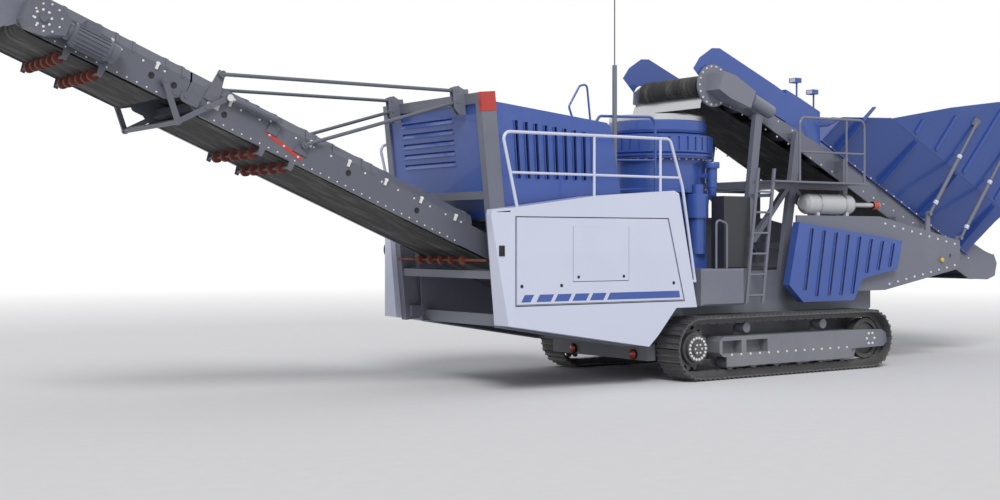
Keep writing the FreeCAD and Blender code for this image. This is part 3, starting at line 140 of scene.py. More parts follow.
def sprayed(name, colour, rough=0.36, grime=0.3, coat=0.25):
    m = Bench(name)
    place = m.node("ShaderNodeTexCoord", out="Object")
    patches = m.cloud(place, 0.8, 6.0, 0.62)
    specks = m.cloud(place, 38.0, 3.0)
    peel = m.cloud(place, 260.0, 1.0)
    height = m.node("ShaderNodeSeparateXYZ", {}, {"Vector": place}, out="Z")
    low = ((1.5 - height) * 0.55).clip()
    dust = ((patches * 1.5 + specks * 0.5 + low * 0.55 - 1.12) * (2.2 * grime)).clip(0.0, 0.55)
    tone = m.mix(shade(colour, 0.9), shade(colour, 1.07), patches)
    return m.surface(m.mix(tone, dust_tint, dust), rough + dust * 0.5 + specks * 0.08, coat=coat,
                     bump=peel + specks * 0.6)


blue_coat = sprayed("blue_coat", (0.043, 0.098, 0.37), 0.32, 0.16, 0.35)
grey_coat = sprayed("grey_coat", (0.165, 0.175, 0.222), 0.42, 0.3, 0.15)
white_coat = sprayed("white_coat", (0.62, 0.655, 0.80), 0.3, 0.10, 0.4)
dark_coat = sprayed("dark_coat", (0.03, 0.033, 0.04), 0.45, 0.25, 0.1)
drive_coat = sprayed("drive_coat", (0.19, 0.2, 0.245), 0.38, 0.25, 0.2)
cast_coat = sprayed("cast_coat", (0.09, 0.09, 0.10), 0.5, 0.4, 0.05)
tank_coat = sprayed("tank_coat", (0.50, 0.51, 0.53), 0.3, 0.12, 0.3)
# The conveyor and hopper paints are darker copies of grey_coat and blue_coat; the extra darkness is painted
# shade.
conveyor_grey_with_painted_shade = sprayed("conveyor_grey_with_painted_shade", (0.118, 0.126, 0.160), 0.42, 0.28, 0.15)
hopper_blue_with_painted_shade = sprayed("hopper_blue_with_painted_shade", (0.032, 0.080, 0.315), 0.28, 0.14, 0.45)
red_coat = sprayed("red_coat", (0.50, 0.07, 0.035), 0.35, 0.12, 0.3)
print("paints", 10)

# %% [markdown]
# ## Worn steel, rubber and bright metal
# Track shoes are forged steel that rust browns and the ground polishes, so their tone has to break up at two
# scales and their shine has to follow it. Belts are matt rubber with pale dust drawn out along the run.
# The rods of cylinders are hard chrome, which is nothing but a smooth metal, and the disc rollers are
# red-brown rubber. Each is one short formula on the same bench.

# %% Steel, rubber and chrome
def worn_steel(name, dark, rust, bare, rough=0.5):
    m = Bench(name)
    place = m.node("ShaderNodeTexCoord", out="Object")
    broad = m.cloud(place, 3.0, 6.0, 0.65)
    fine = m.cloud(place, 55.0, 5.0, 0.6)
    scale_pits = m.cloud(place, 160.0, 2.0)
    rusty = ((broad * 1.3 + fine * 0.5 - 0.85) * 2.6).clip(0.0, 0.8)
    rubbed = ((fine - 0.57) * 6.0).clip(0.0, 0.6)
    colour = m.mix(m.mix(dark, rust, rusty), bare, rubbed)
    return m.surface(colour, rough + rusty * 0.3 - rubbed * 0.25, metal=rubbed * 0.9,
                     bump=scale_pits + fine, depth=0.0012)


def dusty_rubber(name, colour, dust_share, stretch=(1.0, 1.0, 1.0)):
    m = Bench(name)
    place = m.node("ShaderNodeTexCoord", out="Object")
    drawn = m.node("ShaderNodeMapping", {}, {"Vector": place, "Scale": stretch})
    streak = m.cloud(drawn, 7.0, 6.0, 0.7)
    grain = m.cloud(place, 240.0, 2.0)
    dust = ((streak - 0.48) * 3.0 * dust_share).clip(0.0, 0.6)
    return m.surface(m.mix(colour, dust_tint, dust), 0.72 + dust * 0.2, bump=grain + streak, depth=0.0008)


def bright(name, colour, rough):
    m = Bench(name)
    place = m.node("ShaderNodeTexCoord", out="Object")
    marks = m.cloud(place, 30.0, 5.0)
    return m.surface(m.mix(shade(colour, 0.9), colour, marks), rough + marks * 0.12, metal=1.0,
                     bump=marks, depth=0.0002)


track_steel = worn_steel("track_steel", (0.085, 0.086, 0.092), (0.125, 0.112, 0.102), (0.30, 0.30, 0.30))
mantle_steel = worn_steel("mantle_steel", (0.16, 0.15, 0.14), (0.2, 0.13, 0.09), (0.42, 0.41, 0.40), 0.42)
belt_rubber = dusty_rubber("belt_rubber", (0.018, 0.019, 0.019), 0.55, (0.25, 1.0, 0.25))
disc_rubber = dusty_rubber("disc_rubber", (0.17, 0.035, 0.022), 0.3)
seal_rubber = dusty_rubber("seal_rubber", (0.012, 0.012, 0.013), 0.12)
chrome = bright("chrome", (0.76, 0.77, 0.79), 0.12)
bare_sheet = bright("bare_sheet", (0.58, 0.59, 0.61), 0.3)
zinc = bright("zinc", (0.50, 0.51, 0.52), 0.36)
print("metals and rubbers", 8)

# %% [markdown]
# ## Lamps, reflectors and signal colours
# Lamp lenses and reflective strips look like plastic over a fine prism pattern. A Voronoi cell pattern in the
# bump gives those prisms at a few millimetres, far cheaper than modelling them.

# %% Signal plastics
def prismatic(name, colour, rough=0.2, size=260.0):
    m = Bench(name)
    place = m.node("ShaderNodeTexCoord", out="Object")
    cells = m.node("ShaderNodeTexVoronoi", {}, {"Vector": place, "Scale": size}, out="Distance")
    tint = m.mix(shade(colour, 0.75), colour, cells * 1.5)
    return m.surface(tint, rough + cells * 0.1, coat=0.5, bump=cells, depth=0.001)


red_lens = prismatic("red_lens", (0.52, 0.03, 0.02))
clear_lens = prismatic("clear_lens", (0.80, 0.82, 0.84), 0.12, 120.0)
amber_knob = prismatic("amber_knob", (0.80, 0.52, 0.03), 0.35, 400.0)
blank_plate = prismatic("blank_plate", (0.66, 0.67, 0.68), 0.4, 700.0)
print("signal plastics", 4)

# %% [markdown]
# ## Finishes on the CAD nodes
# The record gives each node a material slot. A table from slot to finish dresses most of the machine in one
# loop. A few nodes differ from their slot and are set by name after it: the hopper is a deeper blue and the
# discharge conveyor a darker grey, where the extra darkness is painted shade, the crusher's base is blue and
# the fluid tank pale grey.

# %% Dress the nodes
finish_of_slot = {
    "track_steel": track_steel, "frame_grey": grey_coat, "blue_paint": blue_coat, "white_paint": white_coat,
    "dark_paint": dark_coat, "drive_grey": drive_coat, "cast_engine": cast_coat, "cast_steel": mantle_steel,
    "belt_rubber": belt_rubber, "disc_rubber": disc_rubber, "rod_chrome": chrome,
}
slot_of_node = {part["node"]: part["material_slot"] for part in frame["record"]["subparts"]}
for name, piece in frame["nodes"].items():
    piece.data.materials.clear()
    piece.data.materials.append(finish_of_slot[slot_of_node[name]])
# The hopper and the discharge conveyor get those darker paints, with painted shade in them.
for name in ("hopper_base", "hopper_wing_near", "hopper_wing_far", "hopper_rear_flap"):
    frame["nodes"][name].data.materials[0] = hopper_blue_with_painted_shade
for name in ("discharge_frame", "discharge_hood_lower", "discharge_outer_frame", "discharge_hood_upper",
             "discharge_drive", "stay_rods", "fold_lever", "fold_links", "fold_barrels"):
    frame["nodes"][name].data.materials[0] = conveyor_grey_with_painted_shade
frame["nodes"]["crusher_base"].data.materials[0] = blue_coat
frame["nodes"]["fluid_tank"].data.materials[0] = tank_coat
print("dressed", len(slot_of_node))

# %% [markdown]
# ## Where things are
# The two conveyors and the hopper are sloped, and every bolt row on them runs along the slope. Two functions
# turn distance along the slope and height off it into the machine's own X and Z, in metres, exactly as the
# CAD does. Pieces then get their place from the slope's own sizes, with no fitting by eye.

# %% Slope frames
def slope(x0, z0, degrees, sign):
    c, s = math.cos(math.radians(degrees)), math.sin(math.radians(degrees))
    if sign < 0:
        return lambda u, w: (x0 - c * u + s * w, z0 + s * u + c * w)
    return lambda u, w: (x0 + c * u + s * w, z0 - s * u + c * w)


discharge_tilt = 22.5
discharge = slope(-2.590, 1.768, discharge_tilt, -1)
hopper = slope(3.800, 3.400, 26.0, 1)
feed_tilt = math.degrees(math.atan(0.3987))
feed = slope(1.530, 4.250 - 0.164 / math.cos(math.radians(feed_tilt)), feed_tilt, 1)
plate_face = 0.712      # outer face of the discharge conveyor's side plates
feed_face = 0.750       # outer face of the feed conveyor's side plates
fold_u = 4.108
print("discharge head", [round(v, 2) for v in discharge(5.85, 0.13)])

# %% [markdown]
# ## Solids in mesh code
# Plates, straps and lamp bodies are prisms with their edges broken; knobs, collars and rings are turned.
# Both are a few lines of bmesh. A tiny bevel matters more than it seems: it catches a line of light where a
# sharp edge would stay dead. Each helper gives a bmesh, and assemble() joins several into one named piece
# that rides on a body.

# %% Prisms, blocks and turned forms
def prism(outline, y0, y1, edge=0.002):
    """Slab with an (x, z) outline between two Y planes."""
    bm = bmesh.new()
    low = [bm.verts.new((x, y0, z)) for x, z in outline]
    high = [bm.verts.new((x, y1, z)) for x, z in outline]
    bm.faces.new(low)
    bm.faces.new(high[::-1])
    for i in range(len(outline)):
        j = (i + 1) % len(outline)
        bm.faces.new((low[i], high[i], high[j], low[j]))
    if edge:
        bmesh.ops.bevel(bm, geom=list(bm.edges), offset=edge, segments=2, affect="EDGES", clamp_overlap=True)
    bmesh.ops.recalc_face_normals(bm, faces=bm.faces)
    return bm


def block(centre, size, along=(1, 0, 0), face=(0, 0, 1), edge=0.003):
    """Block whose length lies along one direction and whose height stands on face."""
    x = Vector(along).normalized()
    z = Vector(face)
    z = (z - x * z.dot(x)).normalized()
    turn = Matrix((x, z.cross(x), z)).transposed().to_4x4()
    place = Matrix.Translation(centre) @ turn @ Matrix.Diagonal((*size, 1.0))
    bm = bmesh.new()
    bmesh.ops.create_cube(bm, size=1.0, matrix=place)
    bmesh.ops.bevel(bm, geom=list(bm.edges), offset=edge, segments=2, affect="EDGES", clamp_overlap=True)
    bmesh.ops.recalc_face_normals(bm, faces=bm.faces)
    return bm


def turned(profile, centre, axis, steps=32, ring=False):
    """Profile of (radius, height) turned about an axis through centre; a ring closes on itself."""
    place = Matrix.Translation(centre) @ Vector(axis).to_track_quat("Z", "Y").to_matrix().to_4x4()
    bm = bmesh.new()
    rows = []
    turns = [2 * math.pi * k / steps for k in range(steps)]
    for r, h in profile:
        if r < 1e-6:
            rows.append([bm.verts.new(place @ Vector((0, 0, h)))] * steps)
        else:
            rows.append([bm.verts.new(place @ Vector((r * math.cos(t), r * math.sin(t), h))) for t in turns])
    for a, b in list(zip(rows, rows[1:])) + ([(rows[-1], rows[0])] if ring else []):
        for k in range(steps):
            j = (k + 1) % steps
            corners = []
            for v in (a[k], a[j], b[j], b[k]):
                if v not in corners:
                    corners.append(v)
            if len(corners) > 2:
                bm.faces.new(corners)
    bmesh.ops.recalc_face_normals(bm, faces=bm.faces)
    return bm


def finish_piece(name, mesh, body, finish=None):
    if finish is not None:
        mesh.materials.clear()
        mesh.materials.append(finish)
    mesh.polygons.foreach_set("use_smooth", [True] * len(mesh.polygons))
    mesh.set_sharp_from_angle(angle=math.radians(32))
    piece = bpy.data.objects.new(name, mesh)
    bpy.context.scene.collection.objects.link(piece)
    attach(piece, body)
    return piece


def assemble(name, parts, body, finish):
    whole = bmesh.new()
    for bm in parts:
        part = bpy.data.meshes.new("part")
        bm.to_mesh(part)
        bm.free()
        whole.from_mesh(part)
        bpy.data.meshes.remove(part)
    mesh = bpy.data.meshes.new(name)
    whole.to_mesh(mesh)
    whole.free()
    print(name, len(mesh.polygons), "faces on", body)
    return finish_piece(name, mesh, body, finish)


print("mesh helpers ready")

# %% [markdown]
# ## Patterns as geometry trees
# Bolts, latches and rails repeat hundreds of times. A Geometry Nodes tree with named sizes makes a whole row
# from two end points and a count, so that a row is one line of code here and stays easy to change. Every
# tree ends by making its instances real and giving them their material, because an exporter sees only real
# mesh. The result is baked to a plain mesh and the modifier goes.

# %% The pattern class
class Pattern:
    """A geometry tree with named sizes."""
    kinds = {int: "NodeSocketInt", float: "NodeSocketFloat", tuple: "NodeSocketVector"}

    def __init__(self, name, **sizes):
        self.tree = bpy.data.node_groups.new(name, "GeometryNodeTree")
        face = self.tree.interface
        face.new_socket(name="Base", in_out="INPUT", socket_type="NodeSocketGeometry")
        self.key = {}
        for label, value in sizes.items():
            item = face.new_socket(name=label, in_out="INPUT", socket_type=self.kinds[type(value)])
            item.default_value = value
            self.key[label] = item.identifier
        finish = face.new_socket(name="Finish", in_out="INPUT", socket_type="NodeSocketMaterial")
        self.key["Finish"] = finish.identifier
        face.new_socket(name="Mesh", in_out="OUTPUT", socket_type="NodeSocketGeometry")
        self.entry = self.tree.nodes.new("NodeGroupInput")
        self.exit = self.tree.nodes.new("NodeGroupOutput")

    def size(self, label):
        return self.entry.outputs[label]

    def node(self, kind, settings=None, values=None, out=0):
        n = self.tree.nodes.new(kind)
        for key, value in (settings or {}).items():
            setattr(n, key, value)
        for key, value in (values or {}).items():
            if isinstance(value, bpy.types.NodeSocket):
                self.tree.links.new(value, n.inputs[key])
            else:
                n.inputs[key].default_value = value
        return n.outputs[out]

    def times(self, socket, factor):
        return self.node("ShaderNodeMath", {"operation": "MULTIPLY"}, {0: socket, 1: factor})

    def join(self, *parts):
        n = self.tree.nodes.new("GeometryNodeJoinGeometry")
        for p in parts:
            self.tree.links.new(p, n.inputs[0])
        return n.outputs[0]

    def lifted(self, mesh, height):
        offset = self.node("ShaderNodeCombineXYZ", {}, {"Z": height})
        return self.node("GeometryNodeTransform", {}, {"Geometry": mesh, "Translation": offset})

    def hex_bolt(self):
        head = self.size("Head")
        nut = self.node("GeometryNodeMeshCylinder", {},
                        {"Vertices": 6, "Radius": head, "Depth": self.times(head, 0.9)})
        washer = self.node("GeometryNodeMeshCylinder", {},
                           {"Vertices": 14, "Radius": self.times(head, 1.4), "Depth": self.times(head, 0.24)})
        return self.join(self.lifted(nut, self.times(head, 0.6)), self.lifted(washer, self.times(head, 0.12)))

    def facing(self, label):
        return self.node("FunctionNodeAlignRotationToVector", {"axis": "Z"}, {"Vector": self.size(label)})

    def close(self, geometry):
        real = self.node("GeometryNodeRealizeInstances", {}, {"Geometry": geometry})
        done = self.node("GeometryNodeSetMaterial", {}, {"Geometry": real, "Material": self.size("Finish")})
        self.tree.links.new(done, self.exit.inputs[0])

    def make(self, base=None, **sizes):
        """Bakes one run of the pattern and gives its mesh."""
        seed = bpy.data.objects.new("seed", base or bpy.data.meshes.new("seed"))
        bpy.context.scene.collection.objects.link(seed)
        run = seed.modifiers.new("run", "NODES")
        run.node_group = self.tree
        for label, value in sizes.items():
            run[self.key[label]] = value
        view = bpy.context.evaluated_depsgraph_get()
        mesh = bpy.data.meshes.new_from_object(seed.evaluated_get(view))
        seed.modifiers.remove(run)
        bpy.data.objects.remove(seed)
        return mesh


def gather(name, meshes, body):
    """Several baked runs of one finish as one piece on a body.

    The finish is what the first slot of the first run holds. A run whose mesh comes from a tree's own
    primitives, such as a bolt, has an empty first slot and stays bare.
    """
    finish = meshes[0].materials[0]
    whole = bmesh.new()
    for mesh in meshes:
        whole.from_mesh(mesh)
        bpy.data.meshes.remove(mesh)
    mesh = bpy.data.meshes.new(name)
    whole.to_mesh(mesh)
    whole.free()
    print(name, len(mesh.polygons), "faces on", body)
    return finish_piece(name, mesh, body, finish)


print("pattern class ready")

# %% [markdown]
# ## Four trees
# A straight row of hex bolts, a circle of hex bolts, a row of small blocks for latches and slats, and a tube
# run. The tube run takes a bent line and rounds its corners with Fillet Curve before a circle is swept along
# it, which is how a bent steel rail is really made.

# %% Build the trees
def points_between(tree):
    """Evenly spaced points from the tree's Start to its End."""
    places = {"Count": tree.size("Count"), "Start Location": tree.size("Start"), "Offset": tree.size("End")}
    return tree.node("GeometryNodeMeshLine", {"mode": "END_POINTS"}, places)


def bolts_on(tree, points):
    return tree.node("GeometryNodeInstanceOnPoints", {},
                     {"Points": points, "Instance": tree.hex_bolt(), "Rotation": tree.facing("Facing")})


bolt_row = Pattern("bolt_row", Start=(0.0, 0.0, 0.0), End=(1.0, 0.0, 0.0), Count=4, Head=0.012,
                   Facing=(0.0, 0.0, 1.0))
bolt_row.close(bolts_on(bolt_row, points_between(bolt_row)))

bolt_ring = Pattern("bolt_ring", Centre=(0.0, 0.0, 0.0), Facing=(0.0, 0.0, 1.0), Radius=0.2, Count=12,
                    Head=0.012)
circle = bolt_ring.node("GeometryNodeMeshCircle", {},
                        {"Vertices": bolt_ring.size("Count"), "Radius": bolt_ring.size("Radius")})
placed = bolt_ring.node("GeometryNodeTransform", {},
                        {"Geometry": circle, "Translation": bolt_ring.size("Centre"),
                         "Rotation": bolt_ring.facing("Facing")})
bolt_ring.close(bolts_on(bolt_ring, placed))

block_row = Pattern("block_row", Start=(0.0, 0.0, 0.0), End=(1.0, 0.0, 0.0), Count=4, Size=(0.05, 0.05, 0.05),
                    Turn=(0.0, 0.0, 0.0))
cube = block_row.node("GeometryNodeMeshCube", {}, {"Size": block_row.size("Size")})
block_row.close(block_row.node("GeometryNodeInstanceOnPoints", {},
                               {"Points": points_between(block_row), "Instance": cube,
                                "Rotation": block_row.size("Turn")}))

tube_run = Pattern("tube_run", Radius=0.018, Bend=0.08)
path = tube_run.node("GeometryNodeMeshToCurve", {}, {"Mesh": tube_run.size("Base")})
soft = tube_run.node("GeometryNodeFilletCurve", {"mode": "POLY"},
                     {"Curve": path, "Count": 6, "Radius": tube_run.size("Bend"), "Limit Radius": True})
ring = tube_run.node("GeometryNodeCurvePrimitiveCircle", {},
                     {"Resolution": 14, "Radius": tube_run.size("Radius")})
tube_run.close(tube_run.node("GeometryNodeCurveToMesh", {},
                             {"Curve": soft, "Profile Curve": ring, "Fill Caps": True}))


def tube(points, radius, bend, finish):
    base = bpy.data.meshes.new("route")
    base.from_pydata([tuple(p) for p in points], [(i, i + 1) for i in range(len(points) - 1)], [])
    return tube_run.make(base, Radius=radius, Bend=bend, Finish=finish)


def side_bolts(start, end, s, count, head, finish):
    """Row of bolts on a face that looks to the side s."""
    return bolt_row.make(Start=start, End=end, Count=count, Head=head, Facing=(0.0, float(s), 0.0),
                         Finish=finish)


def ring_bolts(centre, facing, radius, count, head, finish):
    return bolt_ring.make(Centre=centre, Facing=facing, Radius=radius, Count=count, Head=head, Finish=finish)


print("trees", 4)

# %% [markdown]
# ## Discharge conveyor
# The long conveyor is bolted sheet: a bolt row under each hood edge, over-centre latches that hold the hood
# down, a row along the bottom lip and a few bolted cross ties. Both sides are alike. Rows ahead of the fold
# ride on the outer section's body, so each row belongs to one body only.

# %% Bolts and latches of the conveyor
def at(frame_of, u, w, y):
    x, z = frame_of(u, w)
    return (x, y, z)


for body, tag, u0, u1 in (("machine", "lower", 0.25, 3.70), ("discharge_outer", "upper", 4.42, 5.72)):
    bolts, latches = [], []
    n = round((u1 - u0) / 0.23)
    for s in (-1, 1):
        y = s * plate_face
        for w, count, head in ((0.272, n, 0.009), (0.028, n * 2, 0.007)):
            start, end = at(discharge, u0, w, y), at(discharge, u1, w, y)
            bolts.append(side_bolts(start, end, s, count, head, conveyor_grey_with_painted_shade))
        turn = (0.0, math.radians(discharge_tilt), 0.0)
        for w, size in ((0.292, (0.030, 0.022, 0.085)), (0.318, (0.046, 0.014, 0.020))):
            first, last = (at(discharge, u, w, y + s * 0.008) for u in (u0 + 0.1, u1 - 0.1))
            latches.append(block_row.make(Start=first, End=last, Count=max(3, n // 2), Size=size, Turn=turn,
                                          Finish=grey_coat))
    gather("hood_bolts_" + tag, bolts, body)
    gather("hood_latches_" + tag, latches, body)

# %% [markdown]
# The hood is a folded sheet in short lengths, and a pressed strap covers each joint. The strap follows the
# hood's own section: one outline in (y, height), pushed out by the strap's thickness and drawn 30 mm along
# the slope.

# %% Hood straps
def strap(u, width, proud):
    """Band over the hood at u, closed underneath so that it hides the joint."""
    half, low, high = plate_face - 0.002, 0.2965, 0.471
    out = [(-half, low), (-half, low + 0.025), (-half + 0.09, high - 0.04), (-half + 0.26, high)]
    out = out + [(-y, w) for y, w in out[::-1]]
    grow = [(y * (1 + proud / half), w + (proud if w > low + 0.001 else 0.0)) for y, w in out]
    bm = bmesh.new()
    rings = []
    for du in (0.0, width):
        rings.append([[bm.verts.new(at(discharge, u + du, w, y)) for y, w in shape] for shape in (out, grow)])
    (a_in, a_out), (b_in, b_out) = rings
    last = len(out) - 1
    for i in range(last):
        bm.faces.new((a_out[i], a_out[i + 1], b_out[i + 1], b_out[i]))
        bm.faces.new((a_in[i], b_in[i], b_in[i + 1], a_in[i + 1]))
        bm.faces.new((a_in[i], a_in[i + 1], a_out[i + 1], a_out[i]))
        bm.faces.new((b_in[i], b_out[i], b_out[i + 1], b_in[i + 1]))
    for i in (0, last):
        bm.faces.new((a_in[i], a_out[i], b_out[i], b_in[i]))
    bmesh.ops.recalc_face_normals(bm, faces=bm.faces)
    return bm


strap_wide, strap_thick, sheet_length = 0.030, 0.006, 0.4
lower_places = [0.43 + sheet_length * k + (0.0 if k % 2 else 0.16) for k in range(9)]
upper_places = [4.40 + sheet_length * k for k in range(5)]
for body, tag, places in (("machine", "lower", lower_places), ("discharge_outer", "upper", upper_places)):
    straps = [strap(u, strap_wide, strap_thick) for u in places]
    assemble("hood_straps_" + tag, straps, body, conveyor_grey_with_painted_shade)

# %% [markdown]
# The side plates carry cable holes with a rubber grommet in each, a small blank plate, and a red reflective
# strip held by pale studs. A grommet is a turned dark disc with a raised rim: the rim is rubber, and the dark
# closed centre is painted shade that reads as a hole without cutting the plate.

# %% Grommets, blank plate and reflective strip
grommets_and_hole_shade = {"machine": [], "discharge_outer": []}
for u, w in ((4.54, 0.167), (4.27, 0.180), (3.618, 0.138), (1.938, 0.184), (0.9, 0.15)):
    for s in (-1, 1):
        centre = at(discharge, u, w, s * (plate_face - 0.001))
        # The grommet's closed dark centre is painted shade for the hole.
        profile = [(0.0, 0.0), (0.034, 0.0), (0.036, 0.004), (0.030, 0.007), (0.023, 0.004), (0.0, 0.0015)]
        body = "machine" if u < fold_u else "discharge_outer"
        grommets_and_hole_shade[body].append(turned(profile, centre, (0, s, 0), 24))
for body, parts in grommets_and_hole_shade.items():
    assemble("grommets_" + body, parts, body, seal_rubber)

near = -plate_face
strip = [discharge(2.557, 0.050), discharge(3.087, 0.150), discharge(3.080, 0.196), discharge(2.550, 0.096)]
film_edge = (near - 0.003, near + 0.001, 0.0008)
assemble("side_reflector", [prism(strip, *film_edge)], "machine", red_lens)
stud = [(0.0, 0.0), (0.014, 0.0), (0.013, 0.006), (0.0, 0.009)]
studs = [turned(stud, at(discharge, u, w, near - 0.002), (0, -1, 0), 16)
         for u, w in ((2.61, 0.083), (2.82, 0.123), (3.03, 0.163))]
assemble("side_reflector_studs", studs, "machine", white_coat)
plate = [discharge(3.70, 0.145), discharge(3.85, 0.145), discharge(3.85, 0.215), discharge(3.70, 0.215)]
assemble("blank_plate", [prism(plate, *film_edge)], "machine", blank_plate)

# %% [markdown]
# The head drum is turned by a shaft gearbox. Its housing halves are bolted round the shaft, the motor has
# cooling fins along its barrel, and a cap covers the fan. Fins are thin blocks set round the barrel.

# %% Gearbox bolts and motor fins
head = (5.85, 0.132)
gx, gz = discharge(*head)
gear_face = -(plate_face + 0.230)
to_near = (0.0, -1.0, 0.0)
rings = [ring_bolts((gx, gear_face, gz), to_near, 0.085, 8, 0.010, conveyor_grey_with_painted_shade),
         ring_bolts(at(discharge, head[0] - 0.04, head[1] + 0.025, gear_face), to_near, 0.145, 10, 0.008,
                    conveyor_grey_with_painted_shade)]
gather("gearbox_bolts", rings, "discharge_outer")
fins = []
motor_y = -(plate_face + 0.120)
run = Vector((discharge(1, 0)[0] - discharge(0, 0)[0], 0, discharge(1, 0)[1] - discharge(0, 0)[1])).normalized()
mid = Vector(at(discharge, head[0] - 0.545, head[1] + 0.025, motor_y))
for k in range(20):
    a = 2 * math.pi * k / 20
    out = run.cross(Vector((0, 1, 0))) * math.cos(a) + Vector((0, 1, 0)) * math.sin(a)
    fins.append(block(mid + out * 0.126, (0.36, 0.006, 0.020), run, out, 0.0015))
assemble("motor_fins", fins, "discharge_outer", drive_coat)

# %% [markdown]
# ## Crusher, feed head and platform
# Two flanges show their bolts plainly: the one under the crusher's adjusting ring and the disc of the feed
# drive. The feed ring ends in a band of bare steel, and a curved bare sheet under the feed drum keeps
# spillage off the ring. The adjusting motor stands beside the drum on a bracket.

# %% Flange bolts
crusher_x = 1.180
fx, fz = feed(0, 0)
down = (0.0, 0.0, -1.0)
flanges = [ring_bolts((crusher_x, 0.0, 3.0295), down, 0.747, 40, 0.014, grey_coat),
           ring_bolts((crusher_x, 0.0, 2.5625), down, 0.700, 28, 0.012, grey_coat),
           ring_bolts((fx, -0.800, fz), to_near, 0.270, 18, 0.011, grey_coat)]
for s in (-1, 1):
    for d0, d1, h in ((0.45, 6.4, -0.12), (0.45, 1.75, 0.10)):
        flanges.append(side_bolts(at(feed, d0, h, s * feed_face), at(feed, d1, h, s * feed_face), s,
                                  round((d1 - d0) / 0.25), 0.010, grey_coat))
gather("flange_bolts", flanges, "machine")

# %% Steel band, apron and adjusting motor
band = [(0.6905, 3.577), (0.6945, 3.577), (0.6945, 3.6425), (0.651, 3.6655),
        (0.604, 3.617), (0.604, 3.6125), (0.6505, 3.6605), (0.6905, 3.6405)]
ring_band = turned(band, (crusher_x, 0, 0), (0, 0, 1), 96, ring=True)
assemble("feed_ring_band", [ring_band], "machine", bare_sheet)
curve = [(1.470, 3.945), (1.420, 3.915), (1.380, 3.870), (1.355, 3.815), (1.345, 3.755)]
back = [(x + 0.005, z - 0.001) for x, z in curve[::-1]]
assemble("spill_apron", [prism(curve + back, -0.719, 0.719, 0.0)], "machine", bare_sheet)
mx, my = 1.500, -0.800
motor = turned([(0.0, 2.46), (0.05, 2.46), (0.062, 2.48), (0.062, 2.62), (0.070, 2.63), (0.070, 2.90),
                (0.100, 2.905), (0.104, 2.92), (0.104, 2.975), (0.098, 2.99), (0.0, 2.99)],
               (mx, my, 0), (0, 0, 1), 36)
bracket = block((1.445, -0.705, 2.80), (0.13, 0.12, 0.06), (0.35, -0.93, 0))
assemble("adjusting_motor", [motor, bracket], "machine", blue_coat)

# %% [markdown]
# ## Bonnets
# Each bonnet door carries a stripe: five leaning dashes and then a bar. They are applied film, so they are
# 1 mm thick slabs that ride on the door's body. Black quarter-turn locks and a paddle latch in the leading
# edge finish the door.

# %% Stripes and locks
bonnet_face = 1.500
dashes = ((-2.37, -2.23), (-2.14, -1.92), (-1.86, -1.64), (-1.58, -1.36), (-1.30, -1.08), (-1.02, 0.235))
stripe_low, stripe_high, lean = 1.135, 1.225, 0.055
lock_profile = [(0.0, 0.0), (0.022, 0.0), (0.022, 0.004), (0.017, 0.008),
                (0.017, 0.006), (0.006, 0.006), (0.006, 0.011), (0.0, 0.011)]
flap_lock_profile = [(0.0, 0.0), (0.020, 0.0), (0.020, 0.004), (0.014, 0.007), (0.0, 0.007)]
lock_z, flap_lock_z = 1.33, 1.43
for s, side_name in ((-1, "near"), (1, "far")):
    y = s * bonnet_face
    film = []
    for x0, x1 in dashes:
        end_lean = -0.018 if x1 > 0 else lean
        dash = [(x0, stripe_low), (x1, stripe_low), (x1 + end_lean, stripe_high), (x0 + lean, stripe_high)]
        film.append(prism(dash, *sorted((y - s * 0.0005, y + s * 0.001)), 0.0))
    assemble("door_stripe_" + side_name, film, "door_" + side_name, blue_coat)
    locks = [turned(lock_profile, (x, y - s * 0.001, lock_z), (0, s, 0), 24) for x in (-2.36, 0.12, -1.75)]
    assemble("door_locks_" + side_name, locks, "door_" + side_name, seal_rubber)
    flap_locks = [turned(flap_lock_profile, (x, y - s * 0.001, flap_lock_z), (0, s, 0), 24)
                  for x in (-1.48, -0.74)]
    assemble("flap_locks_" + side_name, flap_locks, "flap_" + side_name, seal_rubber)
    across_edge = Vector((-0.512, -s * 0.859, 0))
    outward = Vector((-0.859, s * 0.512, 0))
    latch_at = Vector((-2.565, s * 1.3750, 1.76)) + outward * 0.004
    latch = [block(latch_at, (0.075, 0.13, 0.014), across_edge, outward, 0.004),
             block(latch_at + outward * 0.009, (0.045, 0.07, 0.008), across_edge, outward, 0.003)]
    assemble("paddle_latch_" + side_name, latch, "machine", seal_rubber)

# %% [markdown]
# Behind each door gap runs a black rubber seal on the bonnet's frame. Its black is the rubber's own and also
# painted shade: it makes the gap read as a dark line, and it is still right when the door stands open. The
# seals are straight strips along the four sides of the opening, just inside the door's inner face. A narrow
# black strip runs round the opening on the bonnet's outer face as well, painted shade along the edge of the
# gap.

